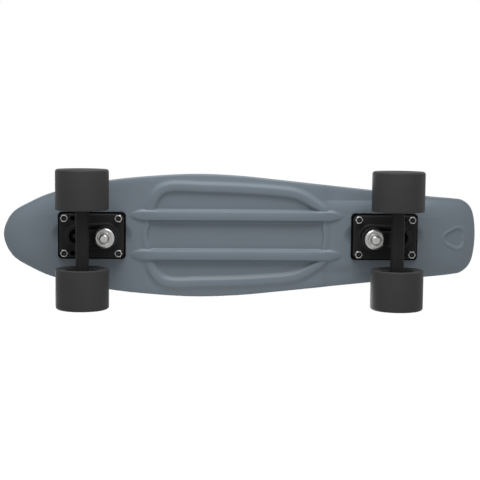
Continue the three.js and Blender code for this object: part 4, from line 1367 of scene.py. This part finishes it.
def wheel_body():
    tread = WHEEL_SIZE.z / 2
    half = WHEEL_SIZE.y / 2
    stack = BEARING_STACK / 2
    shoulder = BEARING_SPACING / 2 - SEAT_GAP
    seat = BEARING_RADIUS + SEAT_GAP
    ledge = seat + WHEEL_LEDGE
    mouth = half - WHEEL_FACE_DISH
    return turned([
        (SPACER_SHOULDER_RADIUS, -shoulder, 0), (seat, -shoulder, 0), (seat, -stack, SEAT_GAP),
        (ledge, -stack, WHEEL_LEDGE), (WHEEL_MOUTH_RADIUS, -mouth, WHEEL_MOUTH_ROUND),
        (tread - WHEEL_INNER_ROUND, -half, WHEEL_INNER_ROUND),
        (tread, -half, WHEEL_INNER_ROUND * WHEEL_INNER_RIM_SHARE), (tread, half, WHEEL_OUTER_ROUND),
        (tread - WHEEL_OUTER_ROUND * WHEEL_OUTER_SLOPE_SHARE, half, WHEEL_INNER_ROUND),
        (WHEEL_MOUTH_RADIUS, mouth, WHEEL_MOUTH_ROUND), (ledge, stack, WHEEL_LEDGE), (seat, stack, SEAT_GAP),
        (seat, shoulder, 0), (SPACER_SHOULDER_RADIUS, shoulder, 0),
    ], FINE_SIDES)


def bearing_body():
    """The outer race with its two pressed shields."""
    half = BEARING_WIDTH / 2
    race = (BEARING_RADIUS + INNER_RACE_RADIUS) / 2 + SHIELD_INSET
    shield = INNER_RACE_RADIUS + SEAT_GAP
    level = half - SHIELD_INSET
    return turned(both_ways([
        (BEARING_RADIUS, half, BEARING_CHAMFER), (race, half, SEAT_GAP / 2), (race, level, 0),
        (race - SHIELD_INSET, half - SHIELD_INSET * SHIELD_CRIMP_SHARE, SEAT_GAP),
        (race - SHIELD_INSET * 2, level, 0), (shield, level, SEAT_GAP),
    ]))


def sleeve_body():
    """The inner races with the spacer between them and a speed washer at each end."""
    race_low, race_high = BEARING_SPACING / 2, BEARING_STACK / 2
    end = race_high + SPEED_WASHER_THICKNESS
    bore = AXLE_RADIUS + AXLE_BORE_GAP
    washer = race_high + SEAT_GAP
    return turned(both_ways([
        (bore, end, 0), (SPEED_WASHER_RADIUS, end, SEAT_GAP / 2), (SPEED_WASHER_RADIUS, washer, 0),
        (INNER_RACE_RADIUS, washer, 0), (INNER_RACE_RADIUS, race_low, 0), (SPACER_RADIUS, race_low, 0),
    ]))


def wheels():
    """Each wheel with its bearings, sleeve and axle nut, laid round its axle, the outer face outboard."""
    tyre, bearing, sleeve = smooth(wheel_body()), smooth(bearing_body()), smooth(sleeve_body())
    nut_size = size_of("front_left_axle_nut")
    axle_nut = lock_nut(nut_size.x, nut_size.y, AXLE_NUT_CROWN, AXLE_RADIUS)
    for end in TRUCK_PLACES:
        for side in ("left", "right"):
            name = f"{end}_{side}"
            middle = middle_of(name + "_wheel")
            outward = math.copysign(1, middle.y)
            lay = Matrix.Translation(middle) @ Matrix.Rotation(-math.pi / 2 * outward, 4, "X")
            stand_in(tyre, name + "_urethane_wheel", lay, name + "_wheel", "wheel_urethane")
            for place, sign in (("outer", 1), ("inner", -1)):
                shift = Matrix.Translation((0, 0, sign * (BEARING_SPACING + BEARING_WIDTH) / 2))
                node = f"{name}_{place}_bearing"
                stand_in(bearing, f"{name}_shielded_{place}_bearing", lay @ shift, node, "bright_steel")
            stand_in(sleeve, name + "_steel_sleeve", lay, name + "_bearing_sleeve", "bright_steel")
            seat = min(abs(corner.y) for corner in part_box(name + "_axle_nut")) - abs(middle.y)
            turn = Matrix.Translation((0, 0, seat)) @ Matrix.Rotation(math.pi, 4, "X")
            stand_in(axle_nut, name + "_axle_lock_nut", lay @ turn, name + "_axle_nut", "bright_steel")
    for model in (tyre, bearing, sleeve, axle_nut):
        bpy.data.objects.remove(model)


# Stage, lights and camera

CAMERA_PLACE = Vector((0.0677, 0.1263, -1.3365))
CAMERA_RIGHT = Vector((-0.99898, 0.00940, -0.04427))
CAMERA_UP = Vector((0.00529, 0.99573, 0.09218))
CAMERA_LENS = 89.75
SENSOR_WIDTH = 36
CAMERA_REACH = 20
# Each lamp's place, size and power
LAMPS = {
    "key": (Vector((0.02, 1.05, -0.36)), (1.15, 0.75), 18.2),
    "fill": (Vector((0.02, -0.9, -0.6)), (1.2, 0.8), 3.0),
    "top": (Vector((0.5, -0.7, 1.7)), (1.4, 1.4), 34),
}
WORLD_SOFT_STRENGTH = 0.53
WORLD_HORIZON_SHARE = 0.35
GROUND_SIZE = 8
SIDE_FLOOR_DEPTH = 1.0
SIDE_FLOOR_WIDTH = 3.0
GROUND_GREY = 244
SIDE_FLOOR_GREY = 186
SIDE_FLOOR_GLOW = 0.46


def add_camera():
    data = bpy.data.cameras.new("photo camera")
    data.lens = CAMERA_LENS
    data.sensor_width = SENSOR_WIDTH
    data.clip_end = CAMERA_REACH
    camera = bpy.data.objects.new("photo camera", data)
    bpy.context.scene.collection.objects.link(camera)
    right = CAMERA_RIGHT.normalized()
    back = right.cross(CAMERA_UP).normalized()
    up = back.cross(right)
    camera.matrix_world = Matrix.Translation(CAMERA_PLACE) @ Matrix((right, up, back)).transposed().to_4x4()
    bpy.context.scene.camera = camera


def add_lamp(name, place, size, power):
    data = bpy.data.lights.new(name, "AREA")
    data.shape = "RECTANGLE"
    data.size, data.size_y = size
    data.energy = power
    lamp = bpy.data.objects.new(name, data)
    lamp.location = place
    lamp.rotation_euler = (Vector((0, 0, UNDERSIDE)) - place).to_track_quat("-Z", "Y").to_euler()
    bpy.context.scene.collection.objects.link(lamp)


def seen_rays(graph):
    """1 for the rays that see the white backdrop: camera, glossy and transmission rays."""
    path = graph.node("ShaderNodeLightPath", output="Is Camera Ray")
    outputs = path.output.node.outputs
    glossy = Socket(graph, outputs["Is Glossy Ray"])
    clear = Socket(graph, outputs["Is Transmission Ray"])
    return path.most(glossy).most(clear)


def off_horizon(graph):
    """0 where a ray runs level and 1 where it runs straight up or down."""
    ray = graph.node("ShaderNodeTexCoord", output="Generated")
    return graph.maths("ABSOLUTE", graph.node("ShaderNodeSeparateXYZ", inputs={"Vector": ray}, output="Z"))


def add_world():
    world = bpy.data.worlds.new("white studio")
    bpy.context.scene.world = world
    world.use_nodes = True
    graph = Graph(world.node_tree)
    seen = seen_rays(graph)
    soft = (WORLD_HORIZON_SHARE + off_horizon(graph) * (1 - WORLD_HORIZON_SHARE)) * WORLD_SOFT_STRENGTH
    strength = soft + seen * (1 - soft)
    light = graph.node("ShaderNodeBackground", inputs={"Color": (1, 1, 1, 1), "Strength": strength})
    graph.node("ShaderNodeOutputWorld", inputs={"Surface": light})


def stage_sheet(name, size, place, turn, paint):
    """A flat sheet of the stage that lights, mirrors and shades nothing."""
    sheet = added(bpy.ops.mesh.primitive_plane_add, size=1)
    sheet.data.transform(Matrix.LocRotScale(Vector(place), Euler(turn), Vector((*size, 1))))
    sheet.name = name
    for ray in ("diffuse", "glossy", "shadow", "transmission", "volume_scatter"):
        setattr(sheet, "visible_" + ray, False)
    material = bpy.data.materials.new(name)
    material.use_nodes = True
    graph = Graph(material.node_tree)
    graph.node("ShaderNodeOutputMaterial", inputs={"Surface": paint(graph)})
    sheet.data.materials.append(material)


def pale_paper(graph):
    """Pale and lit from above; from below it is clear, so the underside can be seen."""
    paper = graph.node("ShaderNodeBsdfDiffuse", inputs={"Color": grey(GROUND_GREY)})
    clear = graph.node("ShaderNodeBsdfTransparent")
    back = graph.node("ShaderNodeNewGeometry", output="Backfacing")
    return graph.node("ShaderNodeMixShader", inputs={0: back, 1: paper, 2: clear})


def bright_paper(graph):
    """White wherever light falls on it, with only the deepest shade showing grey."""
    paper = graph.node("ShaderNodeBsdfDiffuse", inputs={"Color": grey(SIDE_FLOOR_GREY)})
    glow = graph.node("ShaderNodeEmission", inputs={"Strength": SIDE_FLOOR_GLOW})
    return graph.node("ShaderNodeAddShader", inputs={0: paper, 1: glow})


def build_stage():
    add_camera()
    add_world()
    for name, (place, size, power) in LAMPS.items():
        add_lamp(name, place, size, power)
    stage_sheet("ground", (GROUND_SIZE, GROUND_SIZE), (0, 0, 0), (0, 0, 0), pale_paper)
    rest = -(WHEEL_TRACK + WHEEL_SIZE.y) / 2
    stage_sheet(
        "side_floor", (SIDE_FLOOR_WIDTH, SIDE_FLOOR_DEPTH), (0, rest, -SIDE_FLOOR_DEPTH / 2),
        (-math.pi / 2, 0, 0), bright_paper)


build_stage()
moulded_deck()
grip_pads()
deck_bolts()
lock_nuts()
riser_pads()
baseplates()
pivot_cups()
kingpins()
washers()
bushings()
kingpin_nuts()
hangers()
axles()
wheels()

bpy.context.scene.view_settings.view_transform = "Standard"
